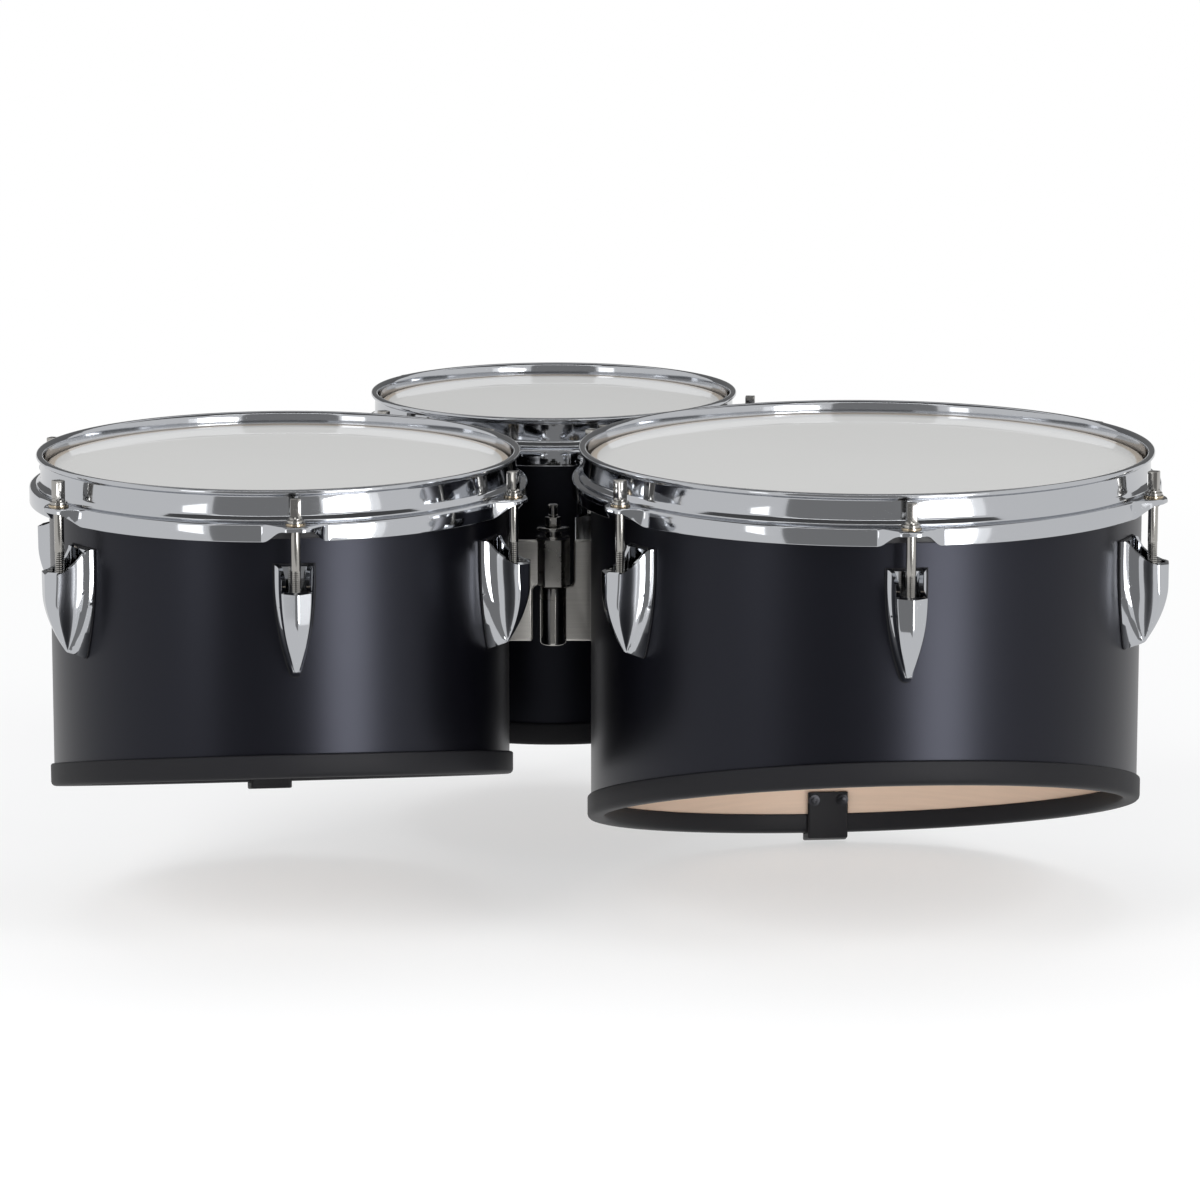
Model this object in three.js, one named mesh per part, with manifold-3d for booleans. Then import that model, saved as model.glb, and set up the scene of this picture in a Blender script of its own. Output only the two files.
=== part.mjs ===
// A trio of marching tenor drums: three open-bottomed drums joined by two upright pin hinges.
// Lengths are millimetres and +Z is up. The audience stands at -Y and the player at +Y.
// The origin lies midway between the two carrier receivers, in the plane of the front hinge.

import * as THREE from 'three';
import { mergeVertices } from 'three/addons/utils/BufferGeometryUtils.js';
import Module from 'manifold-3d';

const wasm = await Module();
wasm.setup();

// Running and seating clearances
const seatGap = 0.3;
const boreGap = 0.4;
const overrun = 6;

// Drums: the short side of each slanted shell faces the audience, the long side the player
const largeDiameter = 304.8;
const largeShortSide = 155;
const largeLongSide = 254.7;
const largeDrop = 0;
const mediumDiameter = 254;
const mediumShortSide = 154.6;
const mediumLongSide = 215.3;
const mediumDrop = 2;
const smallDiameter = 203.2;
const smallDepth = 190.4;
const smallDrop = 3;
const largeTurnDegrees = 5;
const mediumTurnDegrees = 6.5;
const smallTurnDegrees = 14;
const frontLugCount = 6;
const smallLugCount = 5;
const facetsPerBay = 7;

// Gaps between the shells, measured from the front hinge pin and along the line of centres
const largeShellGap = 21.1;
const mediumShellGap = 24.5;
const rearShellGap = 24.6;

// Shell
const shellWall = 5.5;
const edgeRound = 1.2;
const edgeBevel = 4;

// Drumhead: film, collar and the flesh hoop that the collar is crimped into
const filmDepth = 7;
const filmThickness = 0.8;
const collarGap = 0.4;
const collarThickness = 0.9;
const collarRound = 1.4;
const fleshHoopWidth = 6;
const fleshHoopHeight = 6.5;

// Triple-flanged counter hoop
const hoopSheet = 2.2;
const hoopWallGap = 1;
const rimFlange = 2.2;
const rimFlangeHeight = 2;
const wallHeight = 13.8;
const beadReach = 2.7;
const beadRise = 1.4;
const earDepth = 17.3;
const earEdgeRound = 0.9;
const skirtReach = 10.7;
const skirtDepth = 27.2;
const earReach = 22;
const earLip = 0.6;
const earFlatWidth = 14;
const earRunout = 9;
const plainStationsPerBay = 4;

// Tension rod
const rodCircleReach = 15;
const rodRadius = 2.7;
const rodHoleRadius = 3.3;
const rodSides = 8;
const rodCollarRadius = 6.2;
const rodCollarHeight = 3.6;
const rodBossRadius = 4.4;
const rodBossHeight = 2;
const rodHeadAcross = 5.6;
const rodHeadHeight = 8.6;
const rodLength = 62;
const rodEndGap = 1.5;

// Tuning lug: shield-shaped back, V-fronted body, hollowed top with the rod's bore
const lugTop = 41;
const lugHeight = 61.2;
const lugHalfWidth = 11;
const lugBodyHalfWidth = 9.4;
const lugFaceHalfWidth = 8.2;
const lugNose = 9.7;
const lugRidge = 3;
const lugSkirtTop = 4.2;
const lugSkirtGrowth = 6.8;
const lugTipHalfWidth = 0.8;
const lugTopDrop = 12.4;
const lugTopLand = 3.2;
const lugPocketRadius = 5.4;
const lugPocketDepth = 18;
const lugStationShares = [0, 0.2, 0.4, 0.58, 0.74, 0.85, 0.92, 1];
const lugShoulderShare = 0.15;
const lugBackEndShare = 1.06;
const lugFaceEndShare = 0.98;
const lugBodyEndShare = 0.92;
const lugRidgeCurveShare = 0.4;
const lugRidgeLossShare = 0.515;
const lugTipShare = 0.06;
const topCurveShares = [[0, 0], [0.18, 0.42], [0.4, 0.7], [0.68, 0.9], [1, 1]];

// Rubber trim along the slanted bottom edge
const trimLip = 2;
const trimFloor = 3;
const trimOuterHeight = 10;
const trimInnerHeight = 8;
const trimRound = 1.2;

// Foot clip over the lowest point of the trim
const footWidth = 25.2;
const footWall = 2.6;
const footFloor = 4;
const footOuterHeight = 9;
const footInnerHeight = 21;
const footScrewSpacing = 17;
const footScrewRadius = 1.8;
const footScrewDrop = 4;
const footStations = 3;

// Hinge between two drums
const frontPinShare = 0.197;
const rearPinShare = 0.295;
const padShare = 0.131;
const leafTop = 58.9;
const leafBottom = 116.7;
const leafThickness = 3;
const leafNotch = 11.6;
const leafNotchRound = 3;
const notchCornerShare = 0.3;
const padThickness = 3;
const padStations = 4;
const knuckleTop = 57.8;
const knuckleSplit = 85;
const knuckleGap = 0.8;
const hexRadius = 9.6;
const hexSides = 6;
const barrelRadius = 7.55;
const barrelBottom = 118.5;
const barrelChamfer = 1.6;
const barrelSides = 16;
const studRadius = 2.5;
const studTop = 38.7;
const studDepth = 20;
const studTipRadius = 2.9;
const studTipHeight = 1.2;
const studSides = 10;
const nutRadius = 4.6;
const nutHeight = 5.2;
const washerRadius = 9.6;
const washerThickness = 1.7;
const washerBevel = 1.6;
const washerEdge = 0.5;
const spacerRadius = 4.8;
const spacerHeight = 3.2;
const washerSides = 14;

// Carrier receiver: a pad on the shell with a flat socket for the carrier's hook bar
const receiverTop = 62;
const receiverHeight = 52;
const receiverPadWidth = 62;
const receiverPadThickness = 3;
const socketWidth = 28;
const socketDepth = 12;
const socketWall = 3.2;
const receiverRound = 3;

const finishes = {
  lacquer: new THREE.MeshStandardMaterial({ color: 0x17171a, roughness: 0.42, metalness: 0 }),
  chrome: new THREE.MeshStandardMaterial({ color: 0xd8dadd, roughness: 0.08, metalness: 1 }),
  steel: new THREE.MeshStandardMaterial({ color: 0xb4b1ab, roughness: 0.3, metalness: 1 }),
  film: new THREE.MeshStandardMaterial({ color: 0xe6e5e1, roughness: 0.22, metalness: 0 }),
  rubber: new THREE.MeshStandardMaterial({ color: 0x1c1c1d, roughness: 0.75, metalness: 0 }),
};

// The pins stand off the lines of centres, and the pads wrap the shells, by shares of the large shell
const frontPinOffset = frontPinShare * largeDiameter / 2;
const rearPinOffset = rearPinShare * largeDiameter / 2;
const padWidth = padShare * largeDiameter / 2;

// How far a lug stands out from the shell's seat: to its rod's axis and on to its front ridge
const lugReach = rodCircleReach - seatGap + lugNose;

// A point at a radius and a turn from the audience's side, counter-clockwise seen from above
function polar(radius, angle, z) {
  return new THREE.Vector3(radius * Math.sin(angle), -radius * Math.cos(angle), z);
}

function toSolid(geometry) {
  const bare = geometry.index ? geometry.toNonIndexed() : geometry.clone();
  bare.deleteAttribute('normal');
  bare.deleteAttribute('uv');
  const merged = mergeVertices(bare);
  const vertProperties = new Float32Array(merged.attributes.position.array);
  const triVerts = new Uint32Array(merged.index.array);
  return new wasm.Manifold(new wasm.Mesh({ numProp: 3, vertProperties, triVerts }));
}

function toGeometry(solid) {
  const mesh = solid.getMesh();
  const geometry = new THREE.BufferGeometry();
  geometry.setAttribute('position', new THREE.BufferAttribute(new Float32Array(mesh.vertProperties), 3));
  geometry.setIndex(new THREE.BufferAttribute(new Uint32Array(mesh.triVerts), 1));
  return geometry;
}

function join(first, ...others) {
  return toGeometry(others.reduce((sum, part) => sum.add(toSolid(part)), toSolid(first)));
}

function cut(body, ...tools) {
  return toGeometry(tools.reduce((rest, tool) => rest.subtract(toSolid(tool)), toSolid(body)));
}

// Six times the signed volume that a list of triangles encloses
function enclosed(points, triangles) {
  let sum = 0;
  for (let i = 0; i < triangles.length; i += 3) {
    const [a, b, c] = [points[triangles[i]], points[triangles[i + 1]], points[triangles[i + 2]]];
    sum += a.dot(new THREE.Vector3().crossVectors(b, c));
  }
  return sum;
}

// Skin through equal sections: a closed ring of them, or a run with a cap at each end
function loft(sections, ring) {
  const size = sections[0].length;
  const points = sections.flat();
  const triangles = [];
  const spans = ring ? sections.length : sections.length - 1;
  for (let s = 0; s < spans; s += 1) {
    const here = s * size;
    const there = ((s + 1) % sections.length) * size;
    for (let i = 0; i < size; i += 1) {
      const j = (i + 1) % size;
      triangles.push(here + i, here + j, there + j, here + i, there + j, there + i);
    }
  }
  if (!ring) {
    const last = (sections.length - 1) * size;
    const plane = flatten(sections[0]);
    for (const [a, b, c] of THREE.ShapeUtils.triangulateShape(plane, [])) {
      triangles.push(c, b, a, last + a, last + b, last + c);
    }
  }
  if (enclosed(points, triangles) < 0) {
    triangles.reverse();
  }
  const geometry = new THREE.BufferGeometry().setFromPoints(points);
  geometry.setIndex(triangles);
  return geometry;
}

// A section's outline in its own plane, for the caps
function flatten(section) {
  const normal = new THREE.Vector3();
  section.forEach((point, i) => {
    const next = section[(i + 1) % section.length];
    normal.add(new THREE.Vector3().crossVectors(point, next));
  });
  const turn = new THREE.Quaternion().setFromUnitVectors(normal.normalize(), new THREE.Vector3(0, 0, 1));
  return section.map((point) => {
    const flat = point.clone().applyQuaternion(turn);
    return new THREE.Vector2(flat.x, flat.y);
  });
}

// A profile of [radius, z] pairs turned about the Z axis, with its first facet edge at the audience's side
function revolve(profile, sides) {
  const points = profile.map(([radius, z]) => new THREE.Vector2(radius, z));
  return new THREE.LatheGeometry(points, sides).rotateX(Math.PI / 2);
}

// An outline of [x, y] pairs raised from one height to another
function prism(outline, low, high, holes = []) {
  const shape = new THREE.Shape(outline.map(([x, y]) => new THREE.Vector2(x, y)));
  shape.holes = holes.map((hole) => new THREE.Path(hole.map(([x, y]) => new THREE.Vector2(x, y))));
  const depth = high - low;
  return new THREE.ExtrudeGeometry(shape, { depth, bevelEnabled: false }).translate(0, 0, low);
}

function rod(radius, low, high, sides) {
  return revolve([[0, low], [radius, low], [radius, high], [0, high]], sides);
}

// Every length that a drum's pieces share, worked out from its own sizes
function drumPlan(sizes) {
  const radius = sizes.diameter / 2;
  const bay = (2 * Math.PI) / sizes.lugCount;
  const slope = (sizes.longSide - sizes.shortSide) / sizes.diameter;
  const middle = (sizes.longSide + sizes.shortSide) / 2;
  return {
    ...sizes,
    radius,
    bay,
    facets: sizes.lugCount * facetsPerBay,
    rodCircle: radius + rodCircleReach,
    lugAngles: Array.from({ length: sizes.lugCount }, (_, k) => k * bay),
    edgeHeight: (y) => -middle - slope * y,
  };
}

function shellGeometry(drum) {
  const top = -filmDepth - filmThickness - seatGap;
  const inner = drum.radius - shellWall;
  const crest = drum.radius - 2 * edgeRound;
  const sections = Array.from({ length: drum.facets }, (_, k) => {
    const angle = (k / drum.facets) * 2 * Math.PI;
    const outerFoot = polar(drum.radius, angle, 0);
    const innerFoot = polar(inner, angle, 0);
    outerFoot.z = drum.edgeHeight(outerFoot.y);
    innerFoot.z = drum.edgeHeight(innerFoot.y);
    return [
      outerFoot,
      polar(drum.radius, angle, top - edgeRound),
      polar(drum.radius - edgeRound, angle, top),
      polar(crest, angle, top),
      polar(inner, angle, top - edgeBevel),
      innerFoot,
    ];
  });
  return loft(sections, true);
}

// Radii and heights where the head, the hoop and the rods meet
function rimPlan(drum) {
  const collarInner = drum.radius + collarGap;
  const collarOuter = collarInner + collarThickness;
  const wallInner = collarOuter + hoopWallGap;
  const earUnderside = -earDepth - hoopSheet;
  return {
    collarInner,
    collarOuter,
    wallInner,
    wallOuter: wallInner + hoopSheet,
    earUnderside,
    fleshTop: earUnderside - seatGap,
    fleshBottom: earUnderside - seatGap - fleshHoopHeight,
    fleshOuter: collarOuter + fleshHoopWidth,
  };
}

function headGeometry(drum) {
  const rim = rimPlan(drum);
  const film = -filmDepth;
  const under = film - filmThickness;
  return revolve([
    [0, film],
    [rim.collarOuter - collarRound, film],
    [rim.collarOuter, film - collarRound],
    [rim.collarOuter, rim.fleshTop],
    [rim.fleshOuter, rim.fleshTop],
    [rim.fleshOuter, rim.fleshBottom],
    [rim.collarInner, rim.fleshBottom],
    [rim.collarInner, under - collarGap],
    [rim.collarInner - collarGap, under],
    [0, under],
  ].reverse(), drum.facets);
}

// Facet edges of a hoop: two on each ear, one where each ear runs out, and even steps between
function hoopStations(drum) {
  const flat = earFlatWidth / 2 / drum.rodCircle;
  const runout = (earFlatWidth / 2 + earRunout) / drum.rodCircle;
  const plain = drum.bay - 2 * runout;
  const steps = plainStationsPerBay + 1;
  return drum.lugAngles.flatMap((lug) => {
    const between = Array.from({ length: steps + 1 }, (_, k) => ({
      angle: lug + runout + (plain * k) / steps,
      ear: 0,
    }));
    return [{ angle: lug - flat, ear: 1 }, { angle: lug + flat, ear: 1 }, ...between];
  });
}

function hoopSection(drum, station) {
  const rim = rimPlan(drum);
  const edge = drum.radius + THREE.MathUtils.lerp(skirtReach, earReach, station.ear);
  const hem = -THREE.MathUtils.lerp(skirtDepth, earDepth + hoopSheet + earLip, station.ear);
  const beadOuter = rim.wallOuter + beadReach;
  const outline = [
    [rim.wallInner, 0],
    [rim.wallOuter + rimFlange, 0],
    [rim.wallOuter + rimFlange, -rimFlangeHeight],
    [rim.wallOuter, -rimFlangeHeight - hoopWallGap],
    [rim.wallOuter, -wallHeight],
    [beadOuter, -wallHeight - beadRise],
    [beadOuter, -earDepth],
    [edge - earEdgeRound, -earDepth],
    [edge, -earDepth - earEdgeRound],
    [edge, hem],
    [edge - hoopSheet, hem],
    [edge - hoopSheet, rim.earUnderside],
    [rim.wallInner, rim.earUnderside],
  ];
  return outline.map(([radius, z]) => polar(radius, station.angle, z));
}

function hoopGeometry(drum) {
  const ring = loft(hoopStations(drum).map((station) => hoopSection(drum, station)), true);
  const holes = drum.lugAngles.map((angle) => {
    const hole = rod(rodHoleRadius, -skirtDepth - overrun, -wallHeight, rodSides);
    return hole.translate(0, -drum.rodCircle, 0).rotateZ(angle);
  });
  return cut(ring, ...holes);
}

// A rod stands at the audience's side of its drum: the mesh that holds it turns it to its lug
function rodGeometry() {
  const seat = -earDepth + seatGap;
  const collarTop = seat + rodCollarHeight;
  const bossTop = collarTop + rodBossHeight;
  const shank = revolve([
    [0, seat - rodLength],
    [rodRadius, seat - rodLength],
    [rodRadius, seat],
    [rodCollarRadius, seat],
    [rodCollarRadius, collarTop],
    [rodBossRadius, bossTop],
    [0, bossTop],
  ], rodSides);
  const headHeight = rodHeadHeight + rodBossHeight;
  const head = new THREE.BoxGeometry(rodHeadAcross, rodHeadAcross, headHeight);
  head.translate(0, 0, collarTop + headHeight / 2);
  return join(shank, head);
}

// How far in the shield outline has drawn at a share of the lug's height
function ogive(share, end) {
  const run = Math.max(0, (share - lugShoulderShare) / (end - lugShoulderShare));
  return Math.max(lugTipShare, 1 - run ** 2);
}

// Half of a lug's section at a share of its height: [reach, half width] from the shell to the ridge
function lugHalfSection(share) {
  const back = Math.max(lugTipHalfWidth, lugHalfWidth * ogive(share, lugBackEndShare));
  const draw = ogive(share, lugFaceEndShare);
  const past = Math.max(0, (share - lugBodyEndShare) / (1 - lugBodyEndShare));
  const curve = Math.max(0, (share - lugRidgeCurveShare) / (lugBodyEndShare - lugRidgeCurveShare));
  const full = lugReach * (1 - lugRidgeLossShare * Math.min(1, curve) ** 2);
  const ridge = THREE.MathUtils.lerp(full, lugTipHalfWidth, past);
  const corner = ridge - lugRidge * draw;
  const grown = lugSkirtTop + lugSkirtGrowth * Math.min(1, share / lugBodyEndShare) ** 3;
  const skirt = Math.min(THREE.MathUtils.lerp(grown, 0, past), corner - lugTipHalfWidth / 2);
  const fade = 1 - past / 2;
  return {
    back,
    ridge,
    face: [corner, Math.min(back, lugFaceHalfWidth * draw) * fade],
    side: [skirt, Math.min(back, lugBodyHalfWidth * draw) * fade],
  };
}

function lugGeometry(drum) {
  const base = drum.radius + seatGap;
  const fall = Math.tan(Math.PI / drum.facets);
  const sections = lugStationShares.map((share) => {
    const half = lugHalfSection(share);
    const at = (reach, across) => new THREE.Vector3(across, -base - reach, -lugTop - lugHeight * share);
    const right = [at(-half.back * fall, half.back), at(...half.side), at(...half.face)];
    const left = [
      at(half.face[0], -half.face[1]),
      at(half.side[0], -half.side[1]),
      at(-half.back * fall, -half.back),
    ];
    return [at(0, 0), ...right, at(half.ridge, 0), ...left];
  });
  const body = loft(sections, false);
  return cut(body, lugTopCutter(base), lugPocket(drum), lugBore(drum));
}

// The hollow that slopes the lug's top from its back plate down to the front
function lugTopCutter(base) {
  const run = lugReach - lugTopLand;
  const curve = topCurveShares.map(([along, down]) => [
    base + lugTopLand + run * along,
    -lugTop - lugTopDrop * down,
  ]);
  const front = base + lugReach + overrun;
  const outline = [
    ...curve,
    [front, -lugTop - lugTopDrop],
    [front, overrun - lugTop],
    [curve[0][0], overrun - lugTop],
  ];
  const side = (across) => outline.map(([reach, z]) => new THREE.Vector3(across, -reach, z));
  return loft([side(-lugHalfWidth - overrun), side(lugHalfWidth + overrun)], false);
}

function lugPocket(drum) {
  const pocket = rod(lugPocketRadius, -lugTop - lugPocketDepth, -lugTop + overrun, rodSides);
  return pocket.translate(0, -drum.rodCircle, 0);
}

function lugBore(drum) {
  const rodEnd = seatGap - earDepth - rodLength;
  const bore = rod(rodRadius + boreGap, rodEnd - rodEndGap, -lugTop, rodSides);
  return bore.translate(0, -drum.rodCircle, 0);
}

// A point that follows the slanted edge: a radius, a turn, and a height above the edge
function edgePoint(drum, radius, angle, height) {
  const point = polar(radius, angle, 0);
  point.z = drum.edgeHeight(point.y) + height;
  return point;
}

// A facet lies inside its circle: the share of the radius that is left at a turn
function facetShare(drum, angle) {
  const half = Math.PI / drum.facets;
  return Math.cos(half) / Math.cos((angle % (2 * half)) - half);
}

function trimGeometry(drum) {
  const outer = drum.radius + trimLip;
  const inner = drum.radius - shellWall - trimLip;
  const outline = [
    [outer, trimRound - trimFloor],
    [outer, trimOuterHeight],
    [drum.radius + seatGap, trimOuterHeight],
    [drum.radius + seatGap, -seatGap],
    [drum.radius - shellWall - seatGap, -seatGap],
    [drum.radius - shellWall - seatGap, trimInnerHeight],
    [inner, trimInnerHeight],
    [inner, trimRound - trimFloor],
    [inner + trimRound, -trimFloor],
    [outer - trimRound, -trimFloor],
  ];
  const sections = Array.from({ length: drum.facets }, (_, k) => {
    const angle = (k / drum.facets) * 2 * Math.PI;
    return outline.map(([radius, height]) => edgePoint(drum, radius, angle, height));
  });
  return loft(sections, true);
}

function footGeometry(drum) {
  const outer = drum.radius + trimLip + seatGap;
  const inner = drum.radius - shellWall - trimLip - seatGap;
  const floor = -trimFloor - seatGap;
  const outline = [
    [outer + footWall, floor - footFloor],
    [outer + footWall, footOuterHeight],
    [outer, footOuterHeight],
    [outer, floor],
    [inner, floor],
    [inner, footInnerHeight],
    [inner - footWall, footInnerHeight],
    [inner - footWall, floor - footFloor],
  ];
  const width = footWidth / drum.radius;
  const sections = Array.from({ length: footStations }, (_, k) => {
    const angle = Math.PI + width * (k / (footStations - 1) - 0.5);
    const share = facetShare(drum, angle);
    return outline.map(([radius, height]) => edgePoint(drum, radius * share, angle, height));
  });
  const screwHeight = drum.edgeHeight(inner) + footInnerHeight - footScrewDrop;
  const screws = [-footScrewSpacing / 2, footScrewSpacing / 2].map((across) => {
    const hole = rod(footScrewRadius, -footWall - overrun, footWall + overrun, rodSides).rotateX(Math.PI / 2);
    return hole.translate(across, inner, screwHeight);
  });
  return cut(loft(sections, false), ...screws);
}

// The space that a shell and its seating gap take up, as a tool to cut what is fastened to it
function shellEnvelope(drum) {
  return rod(drum.radius + seatGap, -drum.longSide, 0, drum.facets);
}

function receiverGeometry(drum, angle) {
  const back = drum.radius - overrun;
  const pad = drum.radius + seatGap + receiverPadThickness;
  const front = pad + socketDepth + socketWall;
  const halfPad = receiverPadWidth / 2;
  const halfSocket = socketWidth / 2;
  const halfOuter = halfSocket + socketWall;
  const sag = pad - Math.sqrt(pad ** 2 - halfPad ** 2);
  const outline = [
    [-halfPad, -back],
    [halfPad, -back],
    [halfPad, sag - pad],
    [halfOuter + socketWall, sag / 2 - pad],
    [halfOuter, -pad - receiverRound],
    [halfOuter, receiverRound - front],
    [halfOuter - receiverRound, -front],
    [receiverRound - halfOuter, -front],
    [-halfOuter, receiverRound - front],
    [-halfOuter, -pad - receiverRound],
    [-halfOuter - socketWall, sag / 2 - pad],
    [-halfPad, sag - pad],
  ];
  const socket = [
    [-halfSocket, -pad],
    [-halfSocket, socketWall - front],
    [halfSocket, socketWall - front],
    [halfSocket, -pad],
  ];
  const low = -receiverTop - receiverHeight;
  return cut(prism(outline, low, -receiverTop, [socket]), shellEnvelope(drum).rotateZ(-angle));
}

// A leaf's plate seen square on, with a notch that clears the other leaf's knuckle
function leafOutline(end, upper) {
  const top = -leafTop;
  const bottom = -leafBottom;
  const shoulder = upper ? -knuckleSplit + knuckleGap / 2 : -knuckleSplit - knuckleGap / 2;
  const far = upper ? bottom : top;
  const near = upper ? top : bottom;
  const inward = Math.sign(far - near) * leafNotchRound;
  return [
    [0, near],
    [end, near],
    [end, far],
    [leafNotch, far],
    [leafNotch, shoulder + inward],
    [leafNotch - leafNotchRound * notchCornerShare, shoulder + inward * notchCornerShare],
    [leafNotch - leafNotchRound, shoulder],
    [0, shoulder],
  ];
}

// The part of a leaf that wraps the shell, in the leaf's own frame
function leafPad(drum, centre) {
  const inner = drum.radius - overrun;
  const outer = drum.radius + seatGap + padThickness;
  const start = Math.asin(Math.abs(centre.y) / outer) - leafThickness / 2 / outer;
  const side = Math.sign(centre.y);
  const sections = Array.from({ length: padStations }, (_, k) => {
    const angle = Math.PI + side * (start + (padWidth / outer) * (k / (padStations - 1)));
    const at = (radius, z) => new THREE.Vector3(
      centre.x + radius * Math.cos(angle),
      centre.y + radius * Math.sin(angle),
      z,
    );
    return [at(inner, -leafTop), at(outer, -leafTop), at(outer, -leafBottom), at(inner, -leafBottom)];
  });
  return loft(sections, false);
}

function hexKnuckle() {
  const high = -knuckleTop;
  const low = -knuckleSplit + knuckleGap / 2;
  return rod(hexRadius, low, high, hexSides).rotateZ(Math.PI / 6);
}

function barrelKnuckle() {
  const high = -knuckleSplit - knuckleGap / 2;
  return revolve([
    [0, -barrelBottom],
    [barrelRadius - barrelChamfer, -barrelBottom],
    [barrelRadius, barrelChamfer - barrelBottom],
    [barrelRadius, high],
    [0, high],
  ], barrelSides);
}

// One leaf, from the pin along +X to the shell whose place in the leaf's frame is given
function leafGeometry(drum, toLeaf, upper) {
  const centre = new THREE.Vector3().applyMatrix4(toLeaf);
  const end = centre.x - Math.sqrt((drum.radius - shellWall) ** 2 - centre.y ** 2);
  const plate = prism(leafOutline(end, upper), -leafThickness / 2, leafThickness / 2).rotateX(Math.PI / 2);
  const knuckle = upper ? hexKnuckle() : barrelKnuckle();
  const boreLow = upper ? -knuckleSplit - overrun : -knuckleSplit - studDepth;
  const bore = rod(studRadius + boreGap, boreLow, -knuckleTop + overrun, studSides);
  const envelope = shellEnvelope(drum).applyMatrix4(toLeaf);
  return cut(join(plate, knuckle, leafPad(drum, centre)), bore, envelope);
}

function studGeometry() {
  return revolve([
    [0, seatGap - knuckleSplit - studDepth],
    [studRadius, seatGap - knuckleSplit - studDepth],
    [studRadius, -studTop - studTipHeight],
    [studTipRadius, -studTop - studTipHeight],
    [studTipRadius, -studTop],
    [0, -studTop],
  ], studSides);
}

// Two bevelled washers on one spacing collar, clamped between the nut and the upper knuckle
function washerGeometry() {
  const bore = studRadius + boreGap;
  const low = -knuckleTop + seatGap;
  const spacerLow = low + washerThickness;
  const spacerHigh = spacerLow + spacerHeight;
  const high = spacerHigh + washerThickness;
  return revolve([
    [bore, low],
    [washerRadius, low],
    [washerRadius, low + washerEdge],
    [washerRadius - washerBevel, spacerLow],
    [spacerRadius, spacerLow],
    [spacerRadius, spacerHigh],
    [washerRadius, spacerHigh],
    [washerRadius, spacerHigh + washerEdge],
    [washerRadius - washerBevel, high],
    [bore, high],
    [bore, low],
  ], washerSides);
}

function nutGeometry() {
  const low = -knuckleTop + seatGap + 2 * washerThickness + spacerHeight + seatGap;
  const blank = rod(nutRadius, low, low + nutHeight, hexSides).rotateZ(Math.PI / 6);
  return cut(blank, rod(studRadius + boreGap, low - overrun, low + nutHeight + overrun, studSides));
}

function piece(name, geometry, material) {
  const mesh = new THREE.Mesh(geometry, material);
  mesh.name = name;
  return mesh;
}

// A drum's own pieces, in a frame whose first lug faces the audience
function buildDrum(drum, group) {
  const add = (name, geometry, material) => {
    const mesh = piece(`${name}_${drum.tag}`, geometry, material);
    group.add(mesh);
    return mesh;
  };
  add('shell', shellGeometry(drum), finishes.lacquer);
  add('head', headGeometry(drum), finishes.film);
  add('hoop', hoopGeometry(drum), finishes.chrome);
  add('trim', trimGeometry(drum), finishes.rubber);
  const lug = lugGeometry(drum);
  const tension = rodGeometry();
  drum.lugAngles.forEach((angle, k) => {
    add(`lug_${k + 1}`, lug, finishes.chrome).rotation.z = angle;
    const stem = add(`rod_${k + 1}`, tension, finishes.steel);
    stem.position.copy(polar(drum.rodCircle, angle, 0));
    stem.rotation.z = angle;
  });
  if (drum.longSide > drum.shortSide) {
    add('foot', footGeometry(drum), finishes.rubber);
  }
}

// A carrier receiver halfway between two lugs, counted from the audience's side
function buildReceiver(drum, bays, group) {
  const angle = drum.bay * bays;
  const receiver = piece(`receiver_${drum.tag}`, receiverGeometry(drum, angle), finishes.steel);
  receiver.rotation.z = angle;
  group.add(receiver);
}

// A hinge whose pin stands between two drums: the first drum's leaf holds the pin
function buildHinge(name, pin, first, second, root) {
  const middle = (drum) => new THREE.Vector3().setFromMatrixPosition(drum.place);
  const line = middle(first).sub(middle(second)).setZ(0).normalize();
  const heading = Math.atan2(line.y, line.x);
  const group = new THREE.Group();
  group.position.set(pin.x, pin.y, 0);
  group.rotation.z = heading;
  root.add(group);
  const inHinge = new THREE.Matrix4().makeRotationZ(heading).setPosition(pin.x, pin.y, 0).invert();
  const halfTurn = new THREE.Matrix4().makeRotationZ(Math.PI);
  const toFirst = inHinge.clone().multiply(first.place);
  const toSecond = halfTurn.clone().multiply(inHinge).multiply(second.place);
  group.add(piece(`${name}_leaf_${first.tag}`, leafGeometry(first, toFirst, false), finishes.steel));
  const turned = piece(`${name}_leaf_${second.tag}`, leafGeometry(second, toSecond, true), finishes.steel);
  turned.rotation.z = Math.PI;
  group.add(turned);
  group.add(piece(`${name}_stud`, studGeometry(), finishes.steel));
  group.add(piece(`${name}_washers`, washerGeometry(), finishes.steel));
  group.add(piece(`${name}_nut`, nutGeometry(), finishes.steel));
}

// The pin's place on the rear side of the line between two drums, midway between their pads
function rearPin(first, second) {
  const from = new THREE.Vector2(first.centre.x, first.centre.y);
  const to = new THREE.Vector2(second.centre.x, second.centre.y);
  const along = to.clone().sub(from);
  const reach = (drum) => Math.sqrt((drum.radius + seatGap + padThickness) ** 2 - rearPinOffset ** 2);
  const middle = (reach(first) + along.length() - reach(second)) / 2;
  along.normalize();
  const outward = new THREE.Vector2(along.y, -along.x);
  return from.addScaledVector(along, middle).addScaledVector(outward, rearPinOffset);
}

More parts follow.
